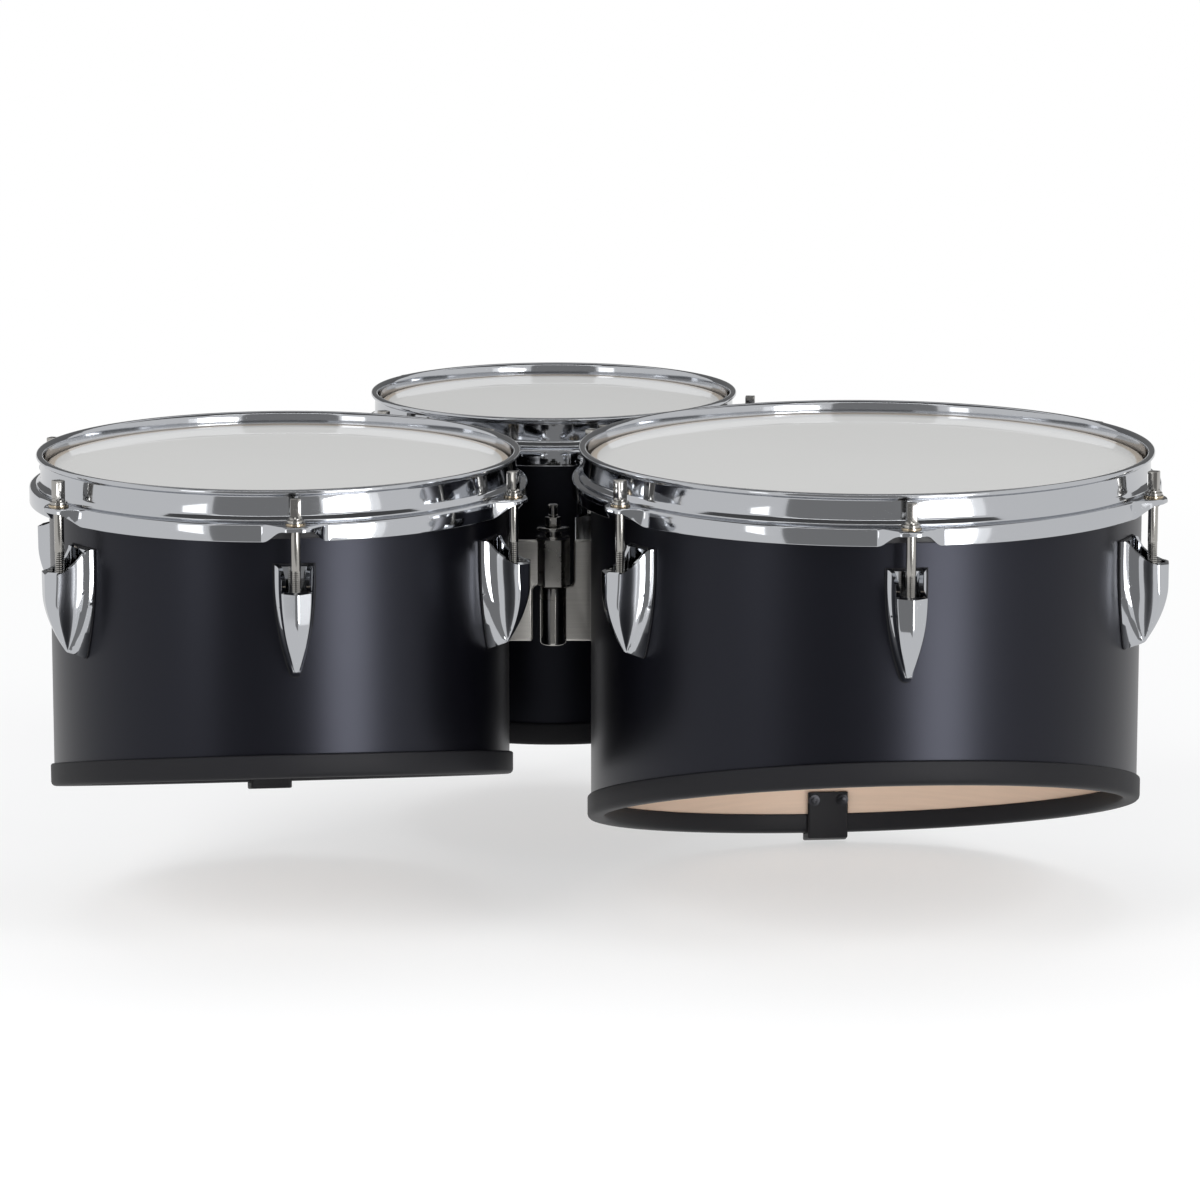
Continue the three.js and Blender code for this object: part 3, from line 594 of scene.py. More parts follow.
class Finish:
    """A material with Object coordinates, surface marks and a Principled BSDF to build on"""

    def __init__(self, name, colour, roughness, metallic=0.0, spread=0.05, smudge=14.0, grain=900.0,
                 bump=0.0, centre=(0, 0, 0)):
        self.material = bpy.data.materials.new(name)
        self.material.use_nodes = True
        self.tree = self.material.node_tree
        self.nodes = self.tree.nodes
        self.links = self.tree.links
        self.shader = self.nodes["Principled BSDF"]
        self.shader.inputs["Base Color"].default_value = colour
        self.shader.inputs["Metallic"].default_value = metallic
        place_in_object = self.nodes.new("ShaderNodeTexCoord").outputs["Object"]
        self.vector = add_node(self.tree, "ShaderNodeMapping", {
            "Vector": place_in_object, "Location": [-value for value in centre]}).outputs["Vector"]
        marks = self.nodes.new("ShaderNodeGroup")
        marks.node_tree = surface_marks()
        inputs = {"Vector": self.vector, "Smudge Scale": smudge, "Grain Scale": grain,
                  "Roughness": roughness, "Spread": spread}
        for key, value in inputs.items():
            feed(self.tree, value, marks.inputs[key])
        self.links.new(marks.outputs["Roughness"], self.shader.inputs["Roughness"])
        self.smudge = marks.outputs["Smudge"]
        if bump:
            self.bump(marks.outputs["Grain"], bump)

    def bump(self, height, strength, distance=0.0002):
        node = add_node(self.tree, "ShaderNodeBump", {
            "Strength": strength, "Distance": distance, "Height": height})
        self.links.new(node.outputs["Normal"], self.shader.inputs["Normal"])

    def mix(self, factor, first, second):
        """A colour between two, each a value or a socket"""
        node = self.nodes.new("ShaderNodeMix")
        node.data_type = "RGBA"
        for value, number in zip((factor, first, second), COLOUR_MIX_INPUTS):
            feed(self.tree, value, node.inputs[number])
        return node.outputs[COLOUR_MIX_OUTPUT]

    def shades(self, factor, colour, low, high):
        """A colour between two shades of one"""
        return self.mix(factor, shade(colour, low), shade(colour, high))

    def paint(self, colour):
        self.links.new(colour, self.shader.inputs["Base Color"])

    def gloss(self, level):
        self.shader.inputs["Specular IOR Level"].default_value = level

    def streaks(self, stretch, scale, detail):
        """Noise that is squeezed along each axis by its own stretch"""
        stretched = add_node(self.tree, "ShaderNodeMapping", {"Vector": self.vector, "Scale": stretch})
        return noise(self.tree, stretched.outputs["Vector"], scale, detail)

    def ramp(self, factor, *stops):
        node = add_node(self.tree, "ShaderNodeValToRGB", {"Fac": factor})
        elements = node.color_ramp.elements
        while len(elements) < len(stops):
            elements.new(1.0)
        for element, (position, value) in zip(elements, stops):
            element.position = position
            element.color = (value, value, value, 1)
        return node.outputs["Color"]

    def radius(self):
        """Distance from the drum's axis"""
        flat = self.nodes.new("ShaderNodeVectorMath")
        flat.operation = "MULTIPLY"
        flat.inputs[1].default_value = (1, 1, 0)
        length = self.nodes.new("ShaderNodeVectorMath")
        length.operation = "LENGTH"
        self.links.new(self.vector, flat.inputs[0])
        self.links.new(flat.outputs["Vector"], length.inputs[0])
        return length.outputs["Value"]


def shade(colour, factor):
    return tuple(channel * factor for channel in colour[:3]) + (1.0,)


def shared(name):
    """Turns a finish into a function that gives its material, built the first time it is asked for"""
    def wrap(maker):
        def material():
            return bpy.data.materials.get(name) or maker(name, bpy.context.scene.tenor_finish).material
        return material
    return wrap


@shared("Satin black lacquer")
def lacquer(name, colours):
    finish = Finish(name, colours.lacquer, colours.lacquer_sheen, spread=0.06, smudge=9, grain=1600,
                    bump=0.04)
    finish.paint(finish.shades(finish.smudge, colours.lacquer, low=0.92, high=1.1))
    finish.gloss(0.38)
    finish.shader.inputs["Specular Tint"].default_value = LACQUER_TINT
    return finish


@shared("Bare shell wood")
def wood(name, colours):
    finish = Finish(name, colours.wood, roughness=0.5, spread=0.12)
    grain = finish.streaks((9, 9, 160), scale=3.0, detail=6.0)
    finish.paint(finish.shades(grain, colours.wood, low=0.9, high=1.08))
    finish.bump(grain, 0.15)
    return finish


@shared("Chrome plate")
def chrome(name, colours):
    return Finish(name, colours.chrome, roughness=0.07, metallic=1.0, smudge=22)


@shared("Nickel steel")
def steel(name, colours):
    finish = Finish(name, colours.steel, roughness=0.13, metallic=1.0, spread=0.1, smudge=60, grain=2500,
                    bump=0.02)
    finish.paint(finish.shades(finish.smudge, colours.steel, low=0.85, high=1.1))
    return finish


@shared("Washer brass")
def brass(name, colours):
    return Finish(name, BRASS_COLOUR, roughness=0.2, metallic=1.0, spread=0.1, smudge=60)


@shared("Brushed stainless")
def brushed(name, colours):
    finish = Finish(name, colours.steel, roughness=0.34, metallic=1.0, spread=0.1, smudge=30)
    strokes = finish.streaks((30, 30, 1600), scale=1.0, detail=3.0)
    finish.paint(finish.shades(strokes, colours.steel, low=1.08, high=1.46))
    finish.bump(strokes, 0.12)
    return finish


@shared("Turned steel")
def turned(name, colours):
    """Darker machined steel of the upper knuckles"""
    finish = Finish(name, colours.steel, roughness=0.3, metallic=1.0, spread=0.25, smudge=140, grain=2500,
                    bump=0.05)
    finish.paint(finish.shades(finish.smudge, colours.steel, low=0.54, high=0.86))
    return finish


@shared("Black rubber")
def rubber(name, colours):
    finish = Finish(name, colours.rubber, roughness=0.55, spread=0.16, smudge=20, grain=1400, bump=0.12)
    finish.paint(finish.shades(finish.smudge, colours.rubber, low=0.85, high=1.2))
    finish.gloss(0.2)
    return finish


# Black of the blackened screws, and painted shade in the other screws' cross recesses
@shared("Blackened screw")
def blackened_and_recess_shade(name, colours):
    return Finish(name, BLACKENED_AND_RECESS_SHADE_COLOUR, roughness=0.32, metallic=1.0, spread=0.12, smudge=80)


# Near-black flesh hoop: painted shade, for the shadow that falls under the ears' lips
@shared("Flesh hoop coating")
def flesh_ring_shade(name, colours):
    return Finish(name, shade(colours.rubber, 1.4), roughness=0.4, spread=0.15, smudge=40)


def film_finish(name, colours, drum):
    """White film with a tan glue line where it turns down into the collar"""
    finish = Finish(name, colours.film, roughness=0.045, spread=0.03, smudge=6, grain=700, bump=0.006,
                    centre=drum.centre)
    reach = drum.radius * GLUE_RAMP_REACH
    share = math_node(finish.tree, "MULTIPLY", finish.radius(), 1 / reach)
    edge = (drum.radius - GLUE_INSET) / reach
    line = finish.ramp(share, (0.0, 0.0), (edge - GLUE_SOFT_SHARE, 0.0), (edge, 1.0), (1.0, 1.0))
    worn = finish.shades(finish.smudge, colours.film, low=0.975, high=1.02)
    finish.paint(finish.mix(line, worn, GLUE_COLOUR))
    finish.gloss(0.3)
    return finish


def build_shell(drum):
    """The shell, its bearing edge under the film and its bottom cut on the slant"""
    inner = drum.radius - SHELL_WALL
    top = -FILM_DEPTH - FILM_THICKNESS - SEAT
    low = -drum.long_side - SHELL_WALL
    profile = [(drum.radius, low), (drum.radius, top - EDGE_ROUND), (drum.radius - EDGE_ROUND, top),
               (drum.radius - 2 * EDGE_ROUND, top), (inner, top - EDGE_BEVEL), (inner, low)]
    bm = lathe(profile, SHELL_STEPS, closed=False, rounds=[((1, 2), EDGE_ROUND / 3)])
    slope = edge_height(drum, 1) - edge_height(drum, 0)
    bmesh.ops.bisect_plane(bm, geom=bm.verts[:] + bm.edges[:] + bm.faces[:], dist=SAME_POINT,
                           plane_co=(0, 0, edge_height(drum, 0)), plane_no=(0, -slope, 1), clear_inner=True)
    rims = [edge for edge in bm.edges if edge.is_boundary]
    bmesh.ops.bridge_loops(bm, edges=rims)
    bmesh.ops.recalc_face_normals(bm, faces=bm.faces)
    skin = drum.radius - SHELL_WALL / 4
    for face in bm.faces:
        face.material_index = int(min(math.hypot(v.co.x, v.co.y) for v in face.verts) < skin)
    bm.transform(place(drum))
    finish_piece(bm, f"drum_shell_{drum.tag}", drum.body, [lacquer(), wood()],
                 [f"shell_{drum.tag}"])


def build_head(drum, sheet):
    """The film with its turned-down collar, and the flesh hoop that holds it"""
    inner = drum.radius + COLLAR_GAP
    outer = inner + COLLAR_THICKNESS
    top = -FILM_DEPTH
    under = top - FILM_THICKNESS
    flesh_top = -EAR_DEPTH - sheet - SEAT
    flesh_low = flesh_top - FLESH_HEIGHT
    halfway, near = (drum.radius * share for share in FILM_RING_SHARES)
    profile = [(0, top), (halfway, top), (near, top), (outer, top), (outer, flesh_low + SKIN),
               (inner, flesh_low + SKIN), (inner, under), (halfway, under), (0, under)]
    bm = lathe(profile, SHELL_STEPS, closed=False, rounds=[((3,), COLLAR_ROUND), ((6,), COLLAR_INNER_ROUND)])
    bm.transform(place(drum))
    colours = bpy.context.scene.tenor_finish
    film = film_finish(f"Drumhead film {drum.tag}", colours, drum).material
    finish_piece(bm, f"drumhead_{drum.tag}", drum.body, [film], [f"head_{drum.tag}"])
    bore = outer + SKIN
    rim = outer + FLESH_WIDTH
    ring = lathe([(bore, flesh_top), (rim, flesh_top), (rim, flesh_low), (bore, flesh_low)],
                 FLESH_STEPS, rounds=[((0, 1, 2, 3), FLESH_ROUND)])
    ring.transform(place(drum))
    finish_piece(ring, f"flesh_hoop_{drum.tag}", drum.body, [flesh_ring_shade()])


def ear_weight(distance, flat, runout):
    """How much of an ear is left at a distance along the rods' circle from a rod"""
    along = min(1.0, max(0.0, (abs(distance) - flat) / runout))
    return (1 + math.cos(math.pi * along)) / 2


def build_hoop(drum, sheet):
    """The counter hoop: rolled rim, wall, bead, and a skirt that lifts into an ear at each rod"""
    inner = drum.radius + COLLAR_GAP + COLLAR_THICKNESS + HOOP_WALL_GAP
    wall = inner + sheet
    bead = wall + BEAD_REACH
    edge = drum.radius + SKIRT_REACH
    under = -EAR_DEPTH - sheet
    profile = [(inner, 0), (wall + RIM_FLANGE, 0), (wall + RIM_FLANGE, -RIM_LIP), (wall, -RIM_UNDERCUT),
               (wall, -WALL_HEIGHT)]
    profile += [(bead - inset, -WALL_HEIGHT - drop) for inset, drop in BEAD_STEPS]
    profile += [(bead - BEAD_FOOT, -EAR_DEPTH), (edge, -EAR_DEPTH), (edge, -SKIRT_DEPTH),
                (edge - sheet * HEM_SHARE, -SKIRT_DEPTH), (edge - sheet, under), (inner, under)]
    bm = lathe(profile, HOOP_STEPS_PER_BAY * drum.lug_count, rounds=HOOP_ROUNDS)
    circle = drum.radius + ROD_REACH
    pitch = bay(drum)
    for vert in bm.verts:
        radius = math.hypot(vert.co.x, vert.co.y)
        if radius <= bead + SKIN:
            continue
        angle = math.atan2(vert.co.x, -vert.co.y)
        offset = (angle - pitch * round(angle / pitch)) * circle
        swept = ear_weight(offset, SWEEP_FLAT, SWEEP_RUNOUT)
        lifted = ear_weight(offset, EAR_FLAT, EAR_RUNOUT)
        out = min(1.0, (radius - bead) / (edge - sheet - bead))
        reach = radius + swept * (EAR_REACH - SKIRT_REACH) * out
        vert.co.x *= reach / radius
        vert.co.y *= reach / radius
        if vert.co.z < under:
            kept = 1 - lifted * (1 - EAR_LIP / (SKIRT_DEPTH - EAR_DEPTH - sheet))
            vert.co.z = under + (vert.co.z - under) * kept
    bmesh.ops.recalc_face_normals(bm, faces=bm.faces)
    bm.transform(place(drum))
    finish_piece(bm, f"counter_hoop_{drum.tag}", f"hoop_{drum.tag}", [chrome()],
                 [f"hoop_{drum.tag}"])


def rod_body(radius):
    """Threaded shank, two washers and the collar under the head, about the Z axis"""
    seat = -EAR_DEPTH + SKIN
    end = seat - ROD_LENGTH
    profile = [(0, end), (radius - 2 * THREAD_DEPTH, end)]
    for ridge in range(int(THREAD_LENGTH / THREAD_PITCH)):
        foot = end + THREAD_PITCH * (ridge + THREAD_START_SHARE)
        profile += [(radius - THREAD_DEPTH, foot), (radius, foot + THREAD_PITCH / 2)]
    profile.append((radius, seat))
    profile += [(step, seat + height) for step, height in ROD_WASHERS]
    bm = lathe(profile, ROD_STEPS, closed=False)
    for face in bm.faces:
        heights = [vert.co.z for vert in face.verts]
        face.material_index = int(min(heights) > seat - SKIN and max(heights) < seat + BRASS_TOP)
    return bm


def build_rod(drum, number, hardware):
    """A rod with its square head and its two washers"""
    bm = rod_body(hardware.rod_radius)
    top = -ROD_HEAD_TOP
    low = -EAR_DEPTH + ROD_HEAD_FOOT
    head = block(hardware.rod_head, hardware.rod_head, top - low)
    soften(head, ROD_HEAD_ROUND)
    add_body(bm, head, Matrix.Translation((0, 0, (top + low) / 2)))
    turn = place(drum, bay(drum) * (number - 1))
    bm.transform(turn @ Matrix.Translation((0, -drum.radius - ROD_REACH, 0)))
    node = f"rod_{number}_{drum.tag}"
    finish_piece(bm, f"tension_{node}", node, [steel(), brass()], [node])


def lug_taper(share, end):
    """How much of a lug's width is left below its shoulder"""
    run = max(0.0, (share - LUG_SHOULDER) / (end - LUG_SHOULDER))
    return max(0.0, 1 - run ** 2)


def lug_top_drop(reach, sizes):
    """How far the hollow top lies below the lug's top at a reach from the shell"""
    along = min(1.0, max(0.0, (reach - LUG_DISH_START) / (sizes.lug_reach - LUG_DISH_START)))
    pairs = zip(LUG_TOP_CURVE, LUG_TOP_CURVE[1:])
    (start, high), (end, low) = next(pair for pair in pairs if along <= pair[1][0])
    return LUG_DISH_DEPTH * (high + (low - high) * (along - start) / (end - start))


def lug_back(share, sizes):
    """Half the width of a lug's base, which ends in a blunt tip"""
    left = max(0.0, 1 - share) * sizes.lug_height
    back = sizes.lug_half_width * lug_taper(share, LUG_BACK_END)
    if left < LUG_TIP:
        back = min(back, math.sqrt(2 * LUG_TIP * left - left ** 2))
    return back


def lug_front(across, ridge, slope, rounded):
    """Reach of a lug's V front, with its ridge rounded off"""
    if across > rounded:
        return ridge - slope * across
    return ridge - slope * (rounded + across ** 2 / rounded) / 2


def lug_outline(share, sizes):
    """Half of a lug's section from the shell to its front ridge, as (reach, half width)"""
    body = min(share, LUG_BODY_END)
    shrink = 1 - ((share - body) / (1 - LUG_BODY_END)) ** LUG_TIP_POWER
    curve = max(0.0, (body - LUG_RIDGE_CURVE) / (LUG_BODY_END - LUG_RIDGE_CURVE))
    draw = lug_taper(body, LUG_FACE_END)
    ridge = sizes.lug_reach * (1 - LUG_RIDGE_LOSS * curve ** LUG_RIDGE_POWER)
    face = sizes.lug_face * max(lug_taper(share, LUG_FACE_END), LUG_FACE_LEAST_SHARE)
    slope = LUG_FACE_RISE / sizes.lug_face
    corner = ridge - slope * face
    crease = min(LUG_SKIRT_TOP + LUG_SKIRT_GROWTH * (body / LUG_BODY_END) ** 3, corner - LUG_CREASE_GAP)
    back = lug_back(share, sizes)
    side = lug_back(body, sizes) - sizes.lug_skirt * (1 - body / 4)
    points = [(0.0, back * LUG_FOOT_SHARE)]
    for out, drawn in LUG_SKIRT_CURVE:
        reach = LUG_SKIRT_EDGE + (crease - LUG_SKIRT_EDGE) * out
        points.append((reach, back + (min(side, back) - back) * drawn))
    for step in LUG_SCOOP_STEPS:
        hollow = sizes.lug_scoop * draw * LUG_SCOOP_PEAK * step * (1 - step) ** 2
        points.append((crease + (corner - crease) * step, side + (face - side) * step - hollow))
    chamfer = min(LUG_CHAMFER, face / 8)
    rounded = min(LUG_RIDGE_ROUND, face / 3)
    points.append((corner - chamfer, face))
    for across in (face - chamfer, face - 2 * chamfer, LUG_RIDGE_EASE * rounded, rounded, rounded / 2, 0.0):
        points.append((lug_front(across, ridge, slope, rounded), across))
    return [(reach * shrink, min(across, back)) for reach, across in points]


def lug_body(drum, sizes):
    """One lug on the audience's side of its drum"""
    flat = lug_outline(0.0, sizes)
    half = len(flat)
    columns = 2 * half - 1
    bm = bmesh.new()
    bmesh.ops.create_grid(bm, x_segments=columns - 1, y_segments=LUG_ROWS, size=0.5)
    seat = drum.radius + SEAT
    for vert in bm.verts:
        column = round((vert.co.x + 0.5) * (columns - 1))
        row = round((0.5 - vert.co.y) * LUG_ROWS)
        side = 1 if column < half else -1
        index = column if column < half else columns - 1 - column
        start = lug_top_drop(flat[index][0], sizes) / sizes.lug_height
        share = start + (1 - start) * (1 - (1 - row / LUG_ROWS) ** LUG_ROW_POWER)
        reach, across = lug_outline(share, sizes)[index]
        fall = seat - math.sqrt(seat ** 2 - across ** 2)
        hug = fall * max(0.0, 1 - reach / LUG_HUG)
        vert.co = (side * across, -seat - reach + hug, -LUG_TOP - share * sizes.lug_height)
    close_lug(bm, seat)
    return bm


def close_lug(bm, seat):
    """Sinks the rod's pocket into the top and closes the back"""
    bmesh.ops.remove_doubles(bm, verts=bm.verts, dist=LUG_SAME_POINT)
    deep = -LUG_TOP - POCKET_EDGE_DROP
    top = [edge for edge in bm.edges if edge.is_boundary and min(v.co.z for v in edge.verts) > deep
           and max(abs(v.co.y) for v in edge.verts) >= seat - POCKET_EDGE_REACH
           and not all(abs(v.co.y) < seat + SKIN for v in edge.verts)]
    ends = [v for v in {v for edge in top for v in edge.verts}
            if sum(edge in top for edge in v.link_edges) == 1]
    back = bm.edges.new(ends)
    lid = bmesh.ops.contextual_create(bm, geom=top + [back])["faces"]
    bmesh.ops.inset_individual(bm, faces=lid, thickness=POCKET_WALL, depth=0.0, use_even_offset=True)
    sunk = bmesh.ops.extrude_discrete_faces(bm, faces=lid)["faces"]
    for vert in sunk[0].verts:
        vert.co.z = -LUG_TOP - POCKET_FLOOR
    rest = [edge for edge in bm.edges if edge.is_boundary]
    bmesh.ops.contextual_create(bm, geom=rest)
    bmesh.ops.recalc_face_normals(bm, faces=bm.faces)


def gasket_body(drum, sizes):
    """The dark gasket that shows all round a lug's base"""
    bm = bmesh.new()
    bmesh.ops.create_grid(bm, x_segments=GASKET_COLUMNS, y_segments=LUG_ROWS, size=0.5)
    radius = drum.radius + SKIN
    for vert in bm.verts:
        share = 1 - (0.5 + vert.co.y) ** LUG_ROW_POWER
        half = lug_back(share, sizes) + GASKET_EDGE * min(1.0, GASKET_FADE * (1 - share))
        across = 2 * vert.co.x * half
        low = LUG_TOP - GASKET_EDGE + share * (sizes.lug_height + 2 * GASKET_EDGE)
        vert.co = (across, -math.sqrt(radius ** 2 - across ** 2), -low)
    bmesh.ops.remove_doubles(bm, verts=bm.verts, dist=LUG_SAME_POINT)
    bmesh.ops.recalc_face_normals(bm, faces=bm.faces)
    if sum(face.normal.y for face in bm.faces) > 0:
        bmesh.ops.reverse_faces(bm, faces=bm.faces)
    bmesh.ops.solidify(bm, geom=bm.faces[:], thickness=-GASKET_THICKNESS)
    bmesh.ops.recalc_face_normals(bm, faces=bm.faces)
    return bm


def build_lug(drum, number, sizes):
    """A lug and the gasket under it"""
    bm = lug_body(drum, sizes)
    soften(bm, LUG_EDGE_ROUND, LUG_SHARP_EDGE)
    turn = place(drum, bay(drum) * (number - 1))
    bm.transform(turn)
    finish_piece(bm, f"lug_casting_{number}_{drum.tag}", drum.body, [chrome()],
                 [f"lug_{number}_{drum.tag}"], crease=LUG_SHARP_SHADING)
    gasket = gasket_body(drum, sizes)
    gasket.transform(turn)
    finish_piece(gasket, f"lug_gasket_{number}_{drum.tag}", drum.body, [rubber()])


def screw_body(radius, height, recess=True):
    """A domed screw head on a washer, standing up from zero, with a cross recess painted as black bars"""
    washer = radius * SCREW_WASHER_SHARE
    profile = [(0, 0), (washer, 0), (washer, SCREW_WASHER_TOP), (radius, SCREW_DOME_FOOT)]
    profile += [(radius * wide, height * high) for wide, high in SCREW_DOME_SHARES]
    bm = lathe(profile, SCREW_STEPS, closed=False)
    # The cross recess is no cut: two bars in the second slot, whose black is painted shade
    if recess:
        long, wide, high = SCREW_SLOT_SHARES
        for turn in (0.0, math.pi / 2):
            lifted = Matrix.Translation((0, 0, height)) @ Matrix.Rotation(turn, 4, "Z")
            add_body(bm, block(radius * long, radius * wide, height * high), lifted, 1)
    return bm


def on_wall(drum, angle, radius, z, facing):
    """A frame on a drum's wall whose Z axis points at the drum's axis, or away from it"""
    lay = Matrix.Rotation(facing * math.pi / 2, 4, "X")
    return place(drum, angle) @ Matrix.Translation((0, -radius, z)) @ lay


def build_lug_screws(drum):
    """Two screws behind each lug, inside the shell"""
    bm = bmesh.new()
    for number in range(drum.lug_count):
        for drop in LUG_SCREW_DROPS:
            add_body(bm, screw_body(*LUG_SCREW),
                     on_wall(drum, bay(drum) * number, drum.radius - SHELL_WALL, -LUG_TOP - drop, INWARD))
    finish_piece(bm, f"lug_screws_{drum.tag}", drum.body, [steel(), blackened_and_recess_shade()])


def build_trim(drum):
    """Rubber channel pushed on to the bottom edge"""
    outer = drum.radius + TRIM_LIP
    shell_inner = drum.radius - SHELL_WALL
    inner = shell_inner - TRIM_LIP
    profile = [(outer, -TRIM_FLOOR), (outer, TRIM_OUTER), (drum.radius + SKIN, TRIM_OUTER),
               (drum.radius + SKIN, -SKIN), (shell_inner - SKIN, -SKIN), (shell_inner - SKIN, TRIM_INNER),
               (inner, TRIM_INNER), (inner, -TRIM_FLOOR)]
    bm = lathe(profile, SHELL_STEPS, rounds=TRIM_ROUNDS)
    bm.transform(place(drum) @ slant(drum))
    finish_piece(bm, f"edge_trim_{drum.tag}", drum.body, [rubber()], [f"trim_{drum.tag}"])


def build_foot(drum):
    """Clip over the lowest point of the trim, with two screws in its inner lip"""
    outer = drum.radius + TRIM_LIP + SKIN
    inner = drum.radius - SHELL_WALL - TRIM_LIP - SKIN
    floor = -TRIM_FLOOR - SKIN
    profile = [(outer + FOOT_WALL, floor - FOOT_FLOOR), (outer + FOOT_WALL, FOOT_OUTER), (outer, FOOT_OUTER),
               (outer, floor), (inner, floor), (inner, FOOT_INNER), (inner - FOOT_WALL, FOOT_INNER),
               (inner - FOOT_WALL, floor - FOOT_FLOOR)]
    bm = sector(profile, FOOT_STEPS, math.pi, FOOT_WIDTH / drum.radius)
    soften(bm, FOOT_ROUND, SHARP_ARC_EDGE, segments=3)
    bm.transform(place(drum) @ slant(drum))
    height = edge_height(drum, inner) + FOOT_INNER - FOOT_SCREW_DROP
    for side in (-0.5, 0.5):
        angle = math.pi + side * FOOT_SCREWS / inner
        add_body(bm, screw_body(*FOOT_SCREW), on_wall(drum, angle, inner - FOOT_WALL, height, INWARD), 1)
    finish_piece(bm, f"foot_clip_{drum.tag}", drum.body, [rubber(), blackened_and_recess_shade()],
                 [f"foot_{drum.tag}"])


def hinge_frame(hinge):
    """The pin's own frame: X runs from the second drum's side to the first drum's"""
    first = Vector(drum_by_tag(hinge["first"]).centre)
    second = Vector(drum_by_tag(hinge["second"]).centre)
    line = first - second
    heading = math.atan2(line.y, line.x)
    return Matrix.Translation((*hinge["pin"], RIM_HEIGHT)) @ Matrix.Rotation(heading, 4, "Z")


def leaf_plate(end, upper):
    """The flat of a leaf, notched round the other leaf's knuckle"""
    gap = KNUCKLE_GAP / 2
    shoulder = -KNUCKLE_SPLIT + gap if upper else -KNUCKLE_SPLIT - gap
    near, far = (-LEAF_TOP, -LEAF_BOTTOM) if upper else (-LEAF_BOTTOM, -LEAF_TOP)
    step = math.copysign(LEAF_ROUND, far - near)
    outline = [(0, near), (end, near), (end, far), (LEAF_NOTCH, far), (LEAF_NOTCH, shoulder + step),
               (LEAF_NOTCH - LEAF_ROUND * LEAF_ROUND_SHARE, shoulder + step * LEAF_ROUND_SHARE),
               (LEAF_NOTCH - LEAF_ROUND, shoulder), (0, shoulder)]
    bm = slab(outline, LEAF_THICKNESS)
    soften(bm, LEAF_EDGE_ROUND, segments=4)
    bm.transform(Matrix.Rotation(math.pi / 2, 4, "X") @ Matrix.Translation((0, 0, -LEAF_THICKNESS / 2)))
    return bm


def leaf_pad(drum, centre):
    """The curved pad that hugs the shell, with the angle and the radius for its bolts"""
    inner = drum.radius + SKIN
    outer = drum.radius + SEAT + PAD_THICKNESS
    start = math.asin(abs(centre.y) / outer) - LEAF_THICKNESS / 2 / outer
    sweep = PAD_WIDTH / outer
    side = math.copysign(1, centre.y)
    bm = sector([(inner, -LEAF_TOP), (outer, -LEAF_TOP), (outer, -LEAF_BOTTOM), (inner, -LEAF_BOTTOM)],
                LEAF_PAD_STEPS, -math.pi / 2 + side * (start + sweep / 2), sweep)
    soften(bm, PAD_ROUND, SHARP_ARC_EDGE)
    bolts = (start + sweep * LEAF_BOLT_SHARE) * side
    bm.transform(Matrix.Translation((centre.x, centre.y, 0)))
    return bm, -math.pi / 2 + bolts, outer


def stepped(radius, step, top, steps):
    """Points on a turned wall, each at a depth below its top and stepped out or not"""
    return [(radius + out * step, top - drop) for out, drop in steps]


def build_leaf(hinge, tag, upper):
    """A whole leaf: plate, pad, knuckle and its two bolts"""
    drum = drum_by_tag(tag)
    half_turn = Matrix.Rotation(math.pi, 4, "Z") if upper else NO_TURN
    spot = hinge_frame(hinge) @ half_turn
    centre = spot.inverted() @ Vector((drum.centre[0], drum.centre[1], RIM_HEIGHT))
    end = centre.x - math.sqrt((drum.radius + SEAT + PAD_THICKNESS / 2) ** 2 - centre.y ** 2)
    bm = leaf_plate(end, upper)
    pad, angle, outer = leaf_pad(drum, centre)
    add_body(bm, pad)
    if upper:
        low = KNUCKLE_SPLIT - KNUCKLE_GAP / 2
        add_body(bm, hexagon(HEX_RADIUS, low - KNUCKLE_TOP, -(low + KNUCKLE_TOP) / 2), material=2)
    else:
        high = -KNUCKLE_SPLIT - KNUCKLE_GAP / 2
        wall = stepped(BARREL_RADIUS, -BARREL_GROOVE, high, BARREL_STEPS)
        barrel = lathe([(0, -BARREL_BOTTOM), (BARREL_RADIUS, -BARREL_BOTTOM), *wall, (0, high)],
                       HINGE_STEPS, closed=False, rounds=BARREL_ROUNDS)
        add_body(bm, barrel, material=1)
    lay = Matrix.Rotation(math.pi / 2, 4, "X")
    for z in (-LEAF_TOP - LEAF_BOLT_INSET, -LEAF_BOTTOM + LEAF_BOLT_INSET):
        bolt_spot = (Matrix.Translation((centre.x, centre.y, z)) @ Matrix.Rotation(angle, 4, "Z")
                     @ Matrix.Translation((0, -outer, 0)) @ lay)
        add_body(bm, screw_body(*LEAF_BOLT, recess=False), bolt_spot, 1)
    bm.transform(spot)
    name = hinge["tag"]
    finish_piece(bm, f"{name}_leaf_{tag}", drum.body, [brushed(), steel(), turned()],
                 [f"{name}_hinge_leaf_{tag}"])


